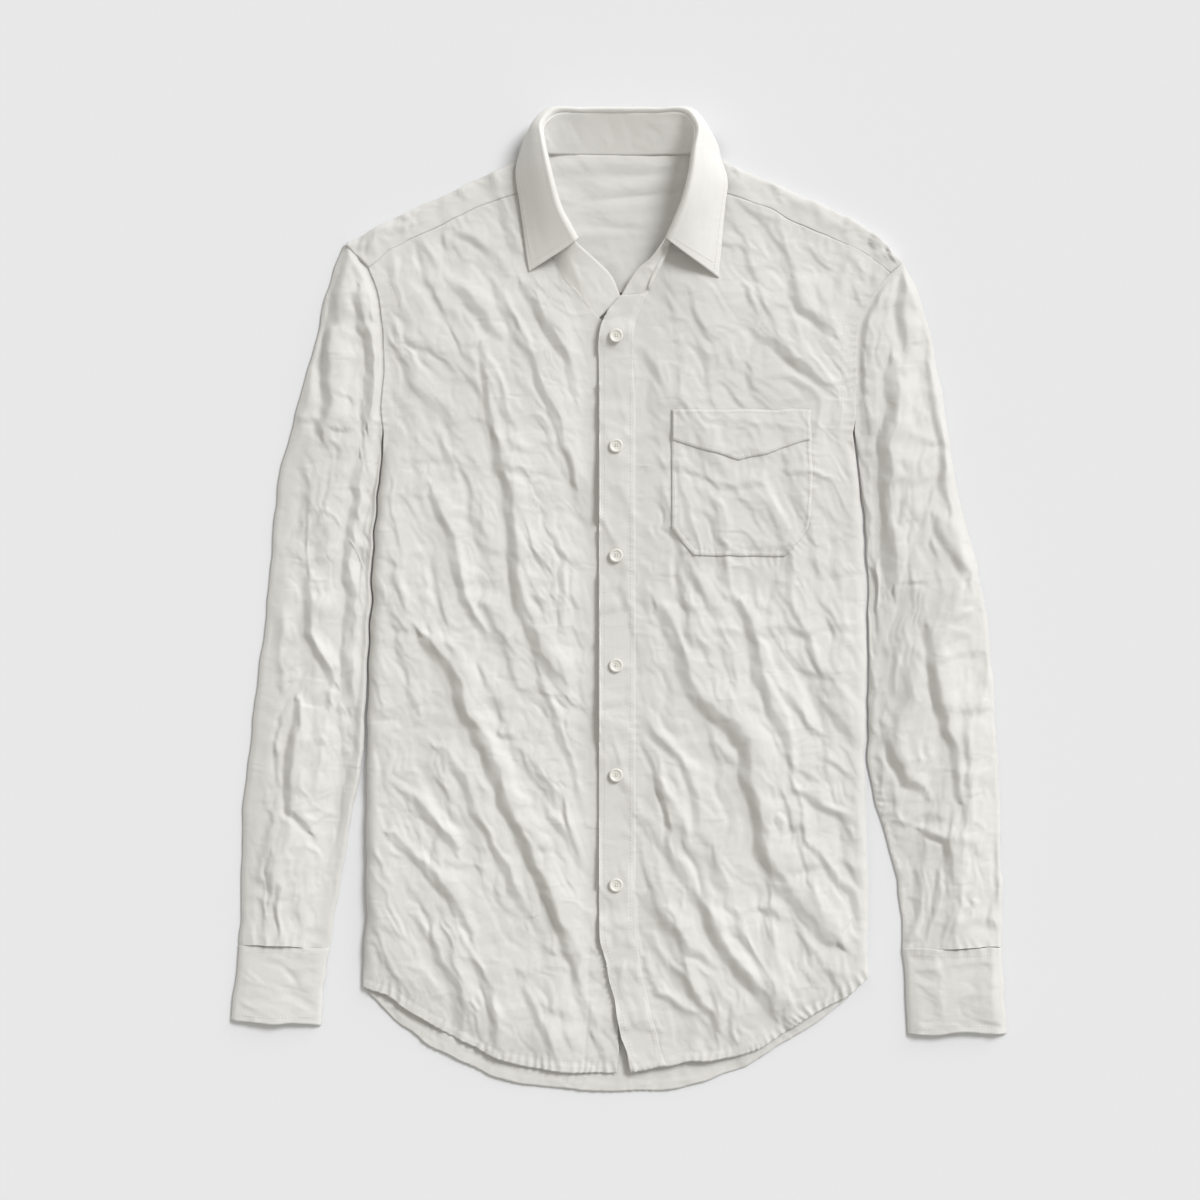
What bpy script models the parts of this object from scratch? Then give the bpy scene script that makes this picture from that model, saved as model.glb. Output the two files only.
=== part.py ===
"""A crumpled long-sleeved button shirt laid out flat, front up, collar towards +Y.

The shirt rests on z = 0 with the origin under the middle of its outline. Tables are in
millimetres, and every mesh is scaled to metres as it is made. "Left" and "right" in node
names are the wearer's, so the left front lies at +X and is buttoned over the right one.
"""

from collections import namedtuple

import bmesh
import bpy
import numpy as np
from mathutils import Vector

MM = 0.001
SHIRT = "crumpled_shirt"

# Walls and clearances
CLOTH = 1.2  # one panel of shirting
FUSED = 1.4  # collar, stand and cuffs: interlined double cloth
PATCH = 1.0  # pocket and its band
SEAM = 0.25  # each piece stops this short of a seam line
REST = 0.4  # between two layers that lie on each other

# Outer heights of the layers above the surface
PLATEAU = 5.8  # fronts between their folds
SEAM_TOP = 6.2  # fronts, yoke and sleeves where they are sewn together
SIDE_TOP = 2 * CLOTH + REST  # fronts at the side seam, closed onto the back
HEM_TOP = 3.6  # fronts along the hem
UNDER_PLACKET = 3.4  # right front under the overlap
OVER_PLACKET = 5.4  # left front on the overlap
SIDE_ROLL = 11.0  # width of the rounded side edge
SHOULDER_FOLD = 6.4  # yoke from its underside to its top at the shoulder
SLEEVE_EDGE = 4.4
SLEEVE_CROWN = 7.6
CUFF_CROWN = 6.0

# Buttons, centres on the placket
BUTTON_X = -2.5
BUTTON_TOP_Y = 222.0
BUTTON_PITCH = 92.3
BUTTONS = 6
BUTTON_STEPS = 20

YOKE_BACK_Y = 258.0  # seam between yoke and back
CUFF_SLIT = 0.3


def table(columns, *rows):
    """Rows with named columns."""
    row = namedtuple("Row", columns)
    return [row(*values) for values in rows]


# Outlines, as points along each seam or edge
LEFT_ARMHOLE = table("x y", (238, 286), (229, 274), (214, 256), (204, 236), (200, 212), (200, 167),
                     (197, 140))
RIGHT_ARMHOLE = table("x y", (-228, 301), (-220, 290), (-212, 279), (-204, 257), (-200, 236), (-199, 190),
                      (-201, 160), (-199, 138))
LEFT_SIDE = table("x y", (197, 140), (203, 90), (207, 34), (208, -80), (208, -168), (209, -252),
                  (210, -318))
RIGHT_SIDE = table("x y", (-199, 138), (-207, 34), (-211, -84), (-212, -168), (-213, -252), (-216, -326))
LEFT_HEM = table("x y", (10, -398), (57, -389), (93, -385), (118, -378), (143, -362), (166, -347),
                 (193, -333), (210, -318))
RIGHT_HEM = table("x y", (-2, -398), (-29, -398), (-60, -395), (-100, -387), (-128, -374), (-163, -354),
                  (-191, -336), (-216, -326))
BACK_HEM = table("x y", (-216, -326), (-187, -354), (-163, -372), (-128, -392), (-100, -403), (-66, -409),
                 (-23, -413), (13, -413), (60, -409), (93, -398), (148, -367), (184, -343), (210, -318))
LEFT_NECK = table("x y", (1, 256), (24, 259), (32, 276), (41, 296), (52, 313), (64, 331), (76, 345))
RIGHT_NECK = table("x y", (4, 232), (-16, 237), (-25, 247), (-33, 258), (-45, 270), (-55, 287), (-64, 306),
                   (-71, 328), (-77, 345))
LEFT_FRONT_EDGE = table("x y", (1, 256), (-9, 244), (-15, 232), (-17.5, 218), (-17, 60),
                        (-17, -120), (-17, -281), (-7, -325), (1, -365), (10, -398))
RIGHT_FRONT_EDGE = table("x y", (4, 232), (4, 60), (4, -120), (3, -281), (0, -350), (-2, -398))
PLACKET_SEAM = table("x y", (24, 258), (15, 236), (14, 160), (14, 0), (14, -160), (14, -270),
                     (23, -328), (33, -370), (40, -391))

LEFT_SLEEVE_OUTER = table("x y", (240, 285), (251, 262), (261, 232), (272, 178), (284, 99), (301, 34),
                          (312, -34), (318, -101), (321, -168), (323, -235), (323, -293))
LEFT_SLEEVE_INNER = table("x y", (198, 140), (205, 84), (209, 34), (210, -80), (213, -158), (223, -194),
                          (233, -230), (239, -294))
RIGHT_SLEEVE_OUTER = table("x y", (-230.5, 299), (-245, 265), (-253, 223), (-262, 194), (-273, 155),
                           (-285, 111), (-293, 34), (-300, -34), (-308, -101), (-316, -168), (-318, -235),
                           (-320, -290))
RIGHT_SLEEVE_INNER = table("x y", (-200, 138), (-208, 34), (-213, -84), (-216, -140), (-223, -176),
                           (-234, -240), (-244, -294))
# Cuffs, each from its seam with the sleeve to its open end
CUFFS = table("side top_in_x top_in_y top_out_x top_out_y end_in_x end_in_y end_out_x end_out_y",
              ("left", 239, -294, 323, -293, 244, -366, 326.3, -365),
              ("right", -244, -294, -320, -290, -251, -359, -326.5, -355))

# Patch pocket: half widths from its middle at each height; the corners are cut off at the foot
POCKET = table("y low_x high_x", (160, 44, 162), (134, 44, 161.5), (96, 44, 161), (60, 44, 160),
               (37, 62, 139))
# Pointed band on the pocket: its lower edge at each place across
POCKET_BAND = table("x low_y", (46, 134), (73, 126), (101, 117), (130, 126), (159, 134))
BAND_TOP_Y = 158.5

# Yoke, one row per line of thread from the back seam over the shoulder to the front seam.
# past is how much is kept beyond the start of the shoulder fold: none behind the neck.
YOKE = table("back_x crest_x crest_y front_x front_y past", (-204, -228, 301, -212, 279, 1),
             (-190, -210, 311, -193, 294, 1), (-172, -186, 323, -170, 305.5, 1),
             (-150, -158, 336, -147, 316.5, 1), (-126, -130, 348, -123, 328, 1),
             (-102, -103, 362, -100, 337, 1), (-86, -85, 371, -87, 341.5, 1), (-78, -76, 376, -77, 345, 1),
             (-72, -70, 378, -73, 353, 0.62), (-66, -64, 378.5, -66, 358, 0.32),
             (-58, -57, 378.5, -57, 360, 0.1), (-46, -46, 378, -46, 360, 0), (-24, -24, 377.6, -24, 360, 0),
             (0, 0, 377.5, 0, 360, 0), (24, 24, 377.6, 24, 360, 0), (46, 46, 378, 46, 360, 0),
             (58, 57, 378.5, 57, 360, 0.1), (66, 64, 378.5, 66, 358, 0.32), (72, 70, 378, 72, 353, 0.62),
             (78, 76, 376, 76, 345, 1), (87, 87, 371, 87, 342.5, 1), (104, 106, 361, 104, 337.5, 1),
             (130, 134, 349, 129, 326.5, 1), (156, 164, 337, 154, 315, 1), (180, 194, 324, 180, 304, 1),
             (200, 220, 306, 206, 292, 1), (214, 238, 286, 229, 274, 1))
COLLAR_MIDDLE_Y = 340.0
NECK_LIFT = 1.6  # the back neck edge is raised this much by the collar

# Collar stand, from its right front end round the neck to its left one
STAND = table("seam_x seam_y seam_z top_x top_y top_z", (-16.5, 239, 6.0, -1.5, 257.5, 6.6),
              (-25, 248.5, 6.6, -6, 272, 9.5), (-35, 259.5, 7.4, -18, 284, 14),
              (-47, 272, 7.8, -35, 299, 22), (-56, 289, 8, -42, 311, 27), (-65, 308, 8, -49, 324, 31),
              (-71, 329, 8, -55, 343, 34), (-73, 348, 8, -59.5, 363, 36), (-72, 362, 8.2, -62.5, 383, 33),
              (-66, 375, 7.6, -63, 396, 27), (-54, 377, 4.6, -56, 405.5, 21.5),
              (-28, 376.2, 4.2, -29, 408, 19.5), (0, 376, 4.2, 0, 408.5, 19),
              (28, 376.2, 4.2, 29, 408, 19.5), (54, 377, 4.6, 56, 405.5, 21.5), (66, 375, 7.6, 63, 395, 27),
              (72, 362, 8.2, 61.5, 376, 33.5), (73, 348, 8, 58.5, 352, 36), (66, 333, 8, 54, 334, 34),
              (55, 315, 8, 48, 317, 30), (43, 298, 8, 38.5, 302, 25), (34, 279, 8.6, 26, 286, 17.2),
              (25.5, 262, 8.6, 9, 268.5, 11), (24, 261, 8.2, 2.5, 258, 9.6))
# Collar leaf, from its right point to its left one
LEAF = table("fold_x fold_y fold_z edge_x edge_y edge_z bulge", (-36.5, 300, 25.5, -76, 276, 9.5, 2.4),
             (-43.5, 311.5, 30, -78.5, 294, 10, 2.4), (-51, 325, 34, -81, 314, 10.5, 2.4),
             (-57, 345, 37.5, -84, 336, 11, 2.6), (-61.5, 366, 39, -87, 357, 10.5, 3),
             (-65, 385, 36, -84.5, 373, 9, 3), (-66, 398, 30.5, -79, 388, 6.5, 4),
             (-58, 408.5, 25, -64, 395, 3.6, 5.6), (-30, 411, 22.8, -32, 393, 2.2, 5.8),
             (0, 411.2, 22.4, 0, 392, 2.0, 5.8), (30, 411, 22.8, 32, 393, 2.2, 5.8),
             (59, 408.5, 25, 65, 395, 3.6, 5.6), (66, 397, 30.5, 80, 388, 6.5, 4),
             (64, 378, 37, 86, 371, 9, 3), (61, 354, 39, 91.5, 351, 10.5, 2.6),
             (56.5, 335, 37.5, 89.5, 333, 11, 2.4), (50, 318, 33.5, 87.5, 312, 10.5, 2.4),
             (41.5, 300, 28, 84, 271, 9.5, 2.4))

# Largest folds of the fronts, as ridges along a bent line
FOLDS = table("x0 y0 x1 y1 x2 y2 height width",
              (-160, -26, -115, -130, -62, -265, 4.2, 13), (-100, 128, -80, 40, -48, -70, 3.6, 12),
              (-150, 88, -134, 10, -106, -36, 2.6, 12), (-150, -126, -118, -190, -78, -268, 3.0, 12),
              (-186, -168, -150, -225, -120, -300, 3.0, 13), (-190, -210, -165, -280, -140, -330, 2.4, 12),
              (-66, -62, -48, -140, -36, -210, 2.8, 11), (-150, 305, -118, 276, -88, 250, 2.4, 12),
              (-92, 250, -60, 200, -40, 150, 2.6, 12), (-190, 60, -180, -60, -168, -140, 2.2, 12),
              (36, -14, 70, -100, 118, -180, 4.4, 14), (118, -180, 140, -250, 186, -300, 3.2, 14),
              (36, -170, 84, -262, 134, -350, 4.0, 13), (34, -262, 64, -318, 104, -350, 2.8, 12),
              (96, -10, 124, -86, 146, -140, 3.0, 12), (160, -90, 184, -150, 200, -176, 2.4, 12),
              (104, 236, 138, 214, 180, 180, 2.6, 12), (150, 262, 168, 224, 178, 150, 2.4, 12),
              (64, 10, 90, -40, 110, -120, 2.2, 12), (160, -180, 182, -214, 200, -260, 2.6, 12))
# Largest folds of the sleeves, along them
SLEEVE_FOLDS = table("x0 y0 x1 y1 x2 y2 height width", (-226, 270, -246, 180, -262, 60, 3.0, 11),
                     (-222, 160, -240, 40, -262, -80, 2.6, 11), (-288, 20, -282, -60, -262, -130, 2.6, 10),
                     (-268, -110, -292, -180, -290, -250, 2.4, 10), (238, 262, 240, 190, 238, 100, 3.0, 12),
                     (232, 150, 226, 60, 232, -20, 3.0, 10), (266, 170, 276, 90, 290, -10, 2.6, 11),
                     (262, -20, 270, -90, 290, -170, 2.6, 11), (226, -110, 250, -170, 268, -250, 2.4, 10))

# Section of a flattened tube: across it from the inner edge to the outer one, and up from the
# surface (0) to its top layer (1)
TUBE = table("across up", (0.0, 0.5), (0.008, 0.14), (0.03, 0), (0.34, 0), (0.66, 0), (0.97, 0),
             (0.992, 0.14), (1.0, 0.5), (0.992, 0.86), (0.955, 1), (0.82, 1), (0.66, 1), (0.5, 1),
             (0.34, 1), (0.18, 1), (0.045, 1), (0.008, 0.86), (0.0, 0.5))
BUTTON = table("radius z", (0, 1.5), (2.9, 1.5), (3.9, 2.3), (5.0, 2.4), (5.8, 1.8), (5.8, 0.6), (5.2, 0),
               (0, 0))


def smooth_curve(points, count):
    """count + 1 points at equal steps along a smooth curve through the given ones."""
    p = np.array([tuple(q) for q in points], float)
    chord = np.r_[0, np.cumsum(np.linalg.norm(np.diff(p, axis=0), axis=1))]
    slope = np.gradient(p, chord, axis=0)
    fine = np.linspace(0, chord[-1], 40 * len(p))
    k = np.clip(np.searchsorted(chord, fine, side="right") - 1, 0, len(p) - 2)
    h = (chord[k + 1] - chord[k])[:, None]
    t = (fine - chord[k])[:, None] / h
    curve = ((2 * t**3 - 3 * t**2 + 1) * p[k] + (t**3 - 2 * t**2 + t) * h * slope[k]
             + (3 * t**2 - 2 * t**3) * p[k + 1] + (t**3 - t**2) * h * slope[k + 1])
    run = np.r_[0, np.cumsum(np.linalg.norm(np.diff(curve, axis=0), axis=1))]
    even = np.linspace(0, run[-1], count + 1)
    return np.stack([np.interp(even, run, curve[:, i]) for i in range(p.shape[1])], axis=1)


def edge(*pieces):
    """Points along an edge made of pieces, each a curve and its count of steps, with true corners."""
    curves = [smooth_curve(points, count) for points, count in pieces]
    return np.vstack([curves[0], *(curve[1:] for curve in curves[1:])])


def patch(top, bottom, first, last):
    """Plan points of a panel between four edges: [row from top to bottom][column]."""
    u = np.linspace(0, 1, len(top))[None, :, None]
    v = np.linspace(0, 1, len(first))[:, None, None]
    sides = (1 - u) * first[:, None] + u * last[:, None]
    ends = (1 - v) * top[None] + v * bottom[None]
    corners = (1 - v) * ((1 - u) * top[0] + u * top[-1]) + v * ((1 - u) * bottom[0] + u * bottom[-1])
    return sides + ends - corners


def inset(grid, amount=SEAM):
    """The panel stops short of its edges, each of them moved towards the next row or column."""
    out = grid.copy()
    for last, inner in ((0, 1), (-1, -2)):
        for of_edge, of_inner in (((last,), (inner,)), ((slice(None), last), (slice(None), inner))):
            step = grid[of_inner] - grid[of_edge]
            out[of_edge] += amount * step / np.linalg.norm(step, axis=-1, keepdims=True)
    return out


def from_line(x, y, line):
    """Distance of points from a bent line, and how far along it they are, from 0 to 1."""
    line = np.asarray([tuple(p) for p in line], float)
    run = np.r_[0, np.cumsum(np.linalg.norm(np.diff(line, axis=0), axis=1))]
    best = np.full(np.shape(x), np.inf)
    where = np.zeros(np.shape(x))
    for i, (a, b) in enumerate(zip(line[:-1], line[1:])):
        d = b - a
        t = np.clip(((x - a[0]) * d[0] + (y - a[1]) * d[1]) / (d @ d), 0, 1)
        away = np.hypot(x - a[0] - t * d[0], y - a[1] - t * d[1])
        nearer = away < best
        best = np.where(nearer, away, best)
        where = np.where(nearer, (run[i] + t * (run[i + 1] - run[i])) / run[-1], where)
    return best, where


def ramp(value, start, end):
    """0 before start, 1 after end, smooth between."""
    t = np.clip((value - start) / (end - start), 0, 1)
    return t * t * (3 - 2 * t)


def folds_at(x, y, folds):
    """Height that the folds add at each point."""
    total = np.zeros(np.shape(x))
    for fold in folds:
        line = smooth_curve([(fold.x0, fold.y0), (fold.x1, fold.y1), (fold.x2, fold.y2)], 8)
        away, where = from_line(x, y, line)
        ends = np.sqrt(np.clip(np.sin(np.pi * np.clip(where, 0.02, 0.98)), 0, 1))
        total = np.maximum(total, fold.height * ends * np.exp(-((away / fold.width) ** 2)))
    return total


def front_height(x, y, side, armhole, hem, overlap_x, overlap_top):
    """Outer height of a front: rounded down at its side, level along the placket and the pocket."""
    from_side, _ = from_line(x, y, side)
    from_armhole, _ = from_line(x, y, armhole)
    from_hem, _ = from_line(x, y, hem)
    outward = np.abs(x)
    flat = ramp(np.abs(x - overlap_x), 34, 62)
    in_pocket = (1 - ramp(np.abs(x - 103), 78, 98)) * (1 - ramp(np.abs(y - 98), 80, 104))
    folds = folds_at(x, y, FOLDS) * flat * (1 - in_pocket)
    folds *= ramp(from_side, 8, 30) * ramp(from_armhole, 8, 30) * (0.35 + 0.65 * ramp(from_hem, 4, 30))
    folds *= 1 - ramp(y, 250, 300) * (1 - ramp(outward, 95, 125))
    base = overlap_top + (PLATEAU - overlap_top) * flat
    base += (SEAM_TOP - base) * ramp(y, 250, 290)
    base += (HEM_TOP - base) * (1 - ramp(from_hem, 0, 24)) * flat
    z = base + folds
    roll = np.sqrt(np.clip(1 - (1 - np.clip(from_side / SIDE_ROLL, 0, 1)) ** 2, 0, 1))
    roll = np.maximum(roll, ramp(y, 110, 138))
    return SIDE_TOP + (z - SIDE_TOP) * roll


def sleeve_height(x, y, across):
    """Height of a sleeve's top layer, low along its two edges."""
    crown = np.sin(np.pi * np.clip(across, 0, 1)) ** 0.6
    z = SLEEVE_EDGE + (SLEEVE_CROWN - SLEEVE_EDGE) * crown
    z += folds_at(x, y, SLEEVE_FOLDS) * ramp(np.minimum(across, 1 - across), 0.05, 0.25)
    return z


def material(name, colour, roughness):
    made = bpy.data.materials.new(name)
    made.use_nodes = True
    shader = made.node_tree.nodes["Principled BSDF"]
    shader.inputs["Base Color"].default_value = (*colour, 1)
    shader.inputs["Roughness"].default_value = roughness
    shader.inputs["Metallic"].default_value = 0
    return made


def cloth(name, points, wall, parts, colour, outward_from=None, even=False):
    """A shell of the given wall under the outer surface whose points are [row][column].
    It faces away from outward_from, or from its own middle."""
    rows, columns = points.shape[0] - 1, points.shape[1] - 1
    bm = bmesh.new()
    bmesh.ops.create_grid(bm, x_segments=columns, y_segments=rows, size=0.5)
    for vert in bm.verts:
        column = round((vert.co.x + 0.5) * columns)
        row = round((0.5 - vert.co.y) * rows)
        vert.co = points[row, column] * MM
    bmesh.ops.remove_doubles(bm, verts=bm.verts, dist=1e-6)
    bm.normal_update()
    inside = Vector(points.reshape(-1, 3).mean(axis=0) if outward_from is None else outward_from) * MM
    facing = sum(face.normal.dot(face.calc_center_median() - inside) * face.calc_area() for face in bm.faces)
    if facing < 0:
        bmesh.ops.reverse_faces(bm, faces=bm.faces)
    mesh = bpy.data.meshes.new(name)
    bm.to_mesh(mesh)
    bm.free()
    mesh.shade_smooth()
    mesh.materials.append(material(name, colour, 0.85))
    made = bpy.data.objects.new(name, mesh)
    parts.objects.link(made)
    shell = made.modifiers.new("wall", "SOLIDIFY")
    shell.thickness = wall * MM
    shell.offset = -1
    shell.use_even_offset = even
    return made


BELOW = (0, 0, -1e5)
SHIRTING = (0.80, 0.79, 0.75)
PEARL = (0.83, 0.82, 0.78)


def lifted(plan, height):
    return np.concatenate([plan, height[..., None]], axis=-1)


def make_back(parts):
    """The back lies flat on the surface, under everything else."""
    armhole_left = [p for p in LEFT_ARMHOLE if p.y < YOKE_BACK_Y - 8]
    armhole_right = [p for p in RIGHT_ARMHOLE if p.y < YOKE_BACK_Y - 8]
    top = [(-204, YOKE_BACK_Y), (0, YOKE_BACK_Y), (214, YOKE_BACK_Y)]
    first = edge(([(-204, YOKE_BACK_Y), *armhole_right], 5), (RIGHT_SIDE, 11))
    last = edge(([(214, YOKE_BACK_Y), *armhole_left], 5), (LEFT_SIDE, 11))
    plan = inset(patch(edge((top, 16)), edge((BACK_HEM, 16)), first, last))
    cloth("back", lifted(plan, np.full(plan.shape[:2], CLOTH)), CLOTH, parts, SHIRTING, BELOW)


def yoke_seam(side):
    """The yoke's front seam on one side (1 the left, -1 the right), from the neck outwards."""
    seam = [(row.front_x, row.front_y) for row in YOKE if row.past == 1 and row.front_x * side > 0]
    return np.array(sorted(seam, key=lambda point: abs(point[0])), float)


def make_fronts(parts):
    plan = inset(patch(np.vstack([edge((LEFT_NECK, 6)), yoke_seam(1)[1:]]), edge((LEFT_HEM, 13)),
                       edge((LEFT_FRONT_EDGE, 28)), edge((LEFT_ARMHOLE[1:], 7), (LEFT_SIDE, 21))))
    z = front_height(plan[..., 0], plan[..., 1], LEFT_SIDE, LEFT_ARMHOLE, LEFT_HEM, -17, OVER_PLACKET)
    cloth("front_left", lifted(plan, z), CLOTH, parts, SHIRTING, BELOW)
    plan = inset(patch(np.vstack([edge((RIGHT_NECK, 7)), yoke_seam(-1)[1:]]), edge((RIGHT_HEM, 14)),
                       edge((RIGHT_FRONT_EDGE, 28)), edge((RIGHT_ARMHOLE[2:], 7), (RIGHT_SIDE, 21))))
    z = front_height(plan[..., 0], plan[..., 1], RIGHT_SIDE, RIGHT_ARMHOLE, RIGHT_HEM, 4, UNDER_PLACKET)
    cloth("front_right", lifted(plan, z), CLOTH, parts, SHIRTING, BELOW)


def make_placket(parts):
    """A strip down the left front's edge, level on the panel it is sewn to."""
    plan = patch(edge(([(1, 256), (24, 258)], 2)), edge(([(10, -398), (40, -391)], 2)),
                 edge((LEFT_FRONT_EDGE, 30)), edge((PLACKET_SEAM, 30)))
    plan = inset(plan, 1.2)
    z = OVER_PLACKET + (SEAM_TOP - OVER_PLACKET) * ramp(plan[..., 1], 235, 290) + REST + PATCH
    cloth("placket", lifted(plan, z), PATCH, parts, SHIRTING, BELOW)


def yoke_thread(row, count=10):
    """Points of the yoke's outer side, from the back seam under the shoulder and over it."""
    radius = SHOULDER_FOLD / 2
    turn = np.linspace(0, np.pi, 9)
    back = np.array([row.back_x, YOKE_BACK_Y, 0])
    crest = np.array([row.crest_x, row.crest_y - radius, 0])
    arc = crest + np.stack([0 * turn, radius * np.sin(turn), radius - radius * np.cos(turn)], axis=1)
    beyond = np.vstack([arc, (row.front_x, row.front_y, SEAM_TOP)])
    run = np.r_[0, np.cumsum(np.linalg.norm(np.diff(beyond, axis=0), axis=1))]
    kept = np.linspace(0, run[-1] * row.past, 14)
    beyond = np.stack([np.interp(kept, run, beyond[:, i]) for i in range(3)], axis=1)
    path = np.vstack([back, back + (crest - back) * 0.5, beyond])
    lift = NECK_LIFT * (1 - min(row.past * 3, 1))
    path[:, 2] += lift * ramp(path[:, 1], crest[1] - 45, crest[1])
    run = np.r_[0, np.cumsum(np.linalg.norm(np.diff(path, axis=0), axis=1))]
    even = np.linspace(0, run[-1], count + 1)
    return np.stack([np.interp(even, run, path[:, i]) for i in range(3)], axis=1)


def make_yoke(parts):
    """One piece from the back seam, over both shoulders, to the seams on the fronts."""
    points = inset(np.stack([yoke_thread(row) for row in YOKE], axis=1))
    cloth("yoke", points, CLOTH, parts, SHIRTING, (0, 320, 3))


def make_tube(name, plan_at, height, wall, parts, along):
    """A flattened tube: its section is laid across the plan at each step along it."""
    rows = []
    for step in range(along + 1):
        ring = []
        for point in TUBE:
            x, y = plan_at(point.across, step)
            top = height(x, y, point.across)
            ring.append((x, y, top * point.up))
        rows.append(ring)
    return cloth(name, np.array(rows), wall, parts, SHIRTING, even=True)


def make_sleeves(parts, along=16):
    for side, armhole, outer, inner in (("left", LEFT_ARMHOLE, LEFT_SLEEVE_OUTER, LEFT_SLEEVE_INNER),
                                        ("right", RIGHT_ARMHOLE, RIGHT_SLEEVE_OUTER, RIGHT_SLEEVE_INNER)):
        away = 1.4 if side == "left" else -1.9
        cap = [(p.x + away, p.y) for p in reversed(armhole)]
        cap[-1] = tuple(outer[0])
        cap[0] = tuple(inner[0])
        cuff = [tuple(inner[-1]), tuple(outer[-1])]
        sides = edge((inner, along)), edge((outer, along))
        plan = inset(patch(edge((cap, 60)), edge((cuff, 60)), *sides), 0.6)
        across = np.linspace(0, 1, 61)

        def plan_at(t, step, plan=plan, across=across):
            return [float(np.interp(t, across, plan[step, :, i])) for i in range(2)]

        make_tube(f"sleeve_{side}", plan_at, sleeve_height, CLOTH, parts, along)


def make_cuffs(parts):
    for cuff in CUFFS:
        corners = np.array([[(cuff.top_in_x, cuff.top_in_y), (cuff.top_out_x, cuff.top_out_y)],
                            [(cuff.end_in_x, cuff.end_in_y), (cuff.end_out_x, cuff.end_out_y)]], float)

        def plan_at(t, step, corners=corners):
            down = step / 3
            ends = corners[0] * (1 - down) + corners[1] * down
            return ends[0] * (1 - t) + ends[1] * t

        def height(x, y, across):
            return SLEEVE_EDGE + (CUFF_CROWN - SLEEVE_EDGE) * np.sin(np.pi * across) ** 0.6

        made = make_tube(f"cuff_{cuff.side}", plan_at, height, FUSED, parts, 3)
        made.location.y = -CUFF_SLIT * MM


def make_collar(parts):
    """The stand rises from the neck seam, and the leaf turns over it and down outside."""
    stand = np.array([[(row.seam_x, row.seam_y, row.seam_z),
                       ((row.seam_x + row.top_x) / 2, (row.seam_y + row.top_y) / 2,
                        (row.seam_z + row.top_z) / 2),
                       (row.top_x, row.top_y, row.top_z)] for row in STAND])
    cloth("collar_stand", stand, FUSED, parts, SHIRTING, (0, COLLAR_MIDDLE_Y, 18))
    leaf = []
    for row in LEAF:
        fold = np.array([row.fold_x, row.fold_y, row.fold_z])
        flat = np.array([row.edge_x, row.edge_y, row.edge_z]) - fold
        out = np.array([row.fold_x, row.fold_y - COLLAR_MIDDLE_Y, 0])
        out = out / np.linalg.norm(out)
        leaf.append([fold - 1.6 * out, fold, fold + 0.2 * flat + row.bulge * out,
                     fold + 0.6 * flat + 0.8 * row.bulge * out, fold + flat])
    cloth("collar_leaf", np.array(leaf), FUSED, parts, SHIRTING, (0, COLLAR_MIDDLE_Y, 12))


def make_pocket(parts):
    """A patch pocket on the left front, with a pointed band across its top."""
    top = PLATEAU + REST + PATCH
    plan = np.array([[(row.low_x + (row.high_x - row.low_x) * t, row.y) for t in np.linspace(0, 1, 7)]
                     for row in POCKET])
    cloth("pocket", lifted(plan, np.full(plan.shape[:2], top)), PATCH, parts, SHIRTING, BELOW)
    plan = np.array([[(row.x, BAND_TOP_Y + (row.low_y - BAND_TOP_Y) * t) for row in POCKET_BAND]
                     for t in (0, 0.5, 1)])
    top += REST + PATCH
    cloth("pocket_band", lifted(plan, np.full(plan.shape[:2], top)), PATCH, parts, SHIRTING, BELOW)


def make_buttons(parts):
    """Turned shirt buttons with a raised rim, lying on the placket."""
    base = OVER_PLACKET + 2 * REST + PATCH
    for number in range(BUTTONS):
        name = f"button_{number + 1}"
        mesh = bpy.data.meshes.new(name)
        profile = [(p.radius * MM, 0, p.z * MM) for p in BUTTON]
        mesh.from_pydata(profile, [(i, i + 1) for i in range(len(profile) - 1)], [])
        mesh.materials.append(material(name, PEARL, 0.35))
        made = bpy.data.objects.new(name, mesh)
        parts.objects.link(made)
        turn = made.modifiers.new("turned", "SCREW")
        turn.steps = turn.render_steps = BUTTON_STEPS
        turn.use_merge_vertices = True
        turn.merge_threshold = 0.00001
        turn.use_smooth_shade = True
        made.location = (BUTTON_X * MM, (BUTTON_TOP_Y - number * BUTTON_PITCH) * MM, base * MM)


def main():
    for thing in list(bpy.data.objects):
        bpy.data.objects.remove(thing)
    parts = bpy.data.collections.new(SHIRT)
    bpy.context.scene.collection.children.link(parts)
    make_back(parts)
    make_fronts(parts)
    make_placket(parts)
    make_yoke(parts)
    make_sleeves(parts)
    make_cuffs(parts)
    make_collar(parts)
    make_pocket(parts)
    make_buttons(parts)


main()
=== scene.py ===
"""The look of a crumpled cotton shirt, laid out flat on its back and seen from straight above."""

import math
from collections import namedtuple

import bpy
import numpy as np
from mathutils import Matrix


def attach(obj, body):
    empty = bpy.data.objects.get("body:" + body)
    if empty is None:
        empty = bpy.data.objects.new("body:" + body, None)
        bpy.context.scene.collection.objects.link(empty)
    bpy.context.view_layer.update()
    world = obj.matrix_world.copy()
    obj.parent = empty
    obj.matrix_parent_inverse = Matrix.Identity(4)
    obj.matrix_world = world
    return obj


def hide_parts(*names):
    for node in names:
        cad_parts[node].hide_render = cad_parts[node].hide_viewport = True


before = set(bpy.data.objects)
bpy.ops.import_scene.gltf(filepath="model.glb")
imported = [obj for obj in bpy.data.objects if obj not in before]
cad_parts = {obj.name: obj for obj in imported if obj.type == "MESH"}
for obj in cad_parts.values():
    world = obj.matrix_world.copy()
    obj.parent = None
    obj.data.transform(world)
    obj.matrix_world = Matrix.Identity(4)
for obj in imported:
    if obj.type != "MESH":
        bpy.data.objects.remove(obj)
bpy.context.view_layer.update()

MM = 0.001

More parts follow.
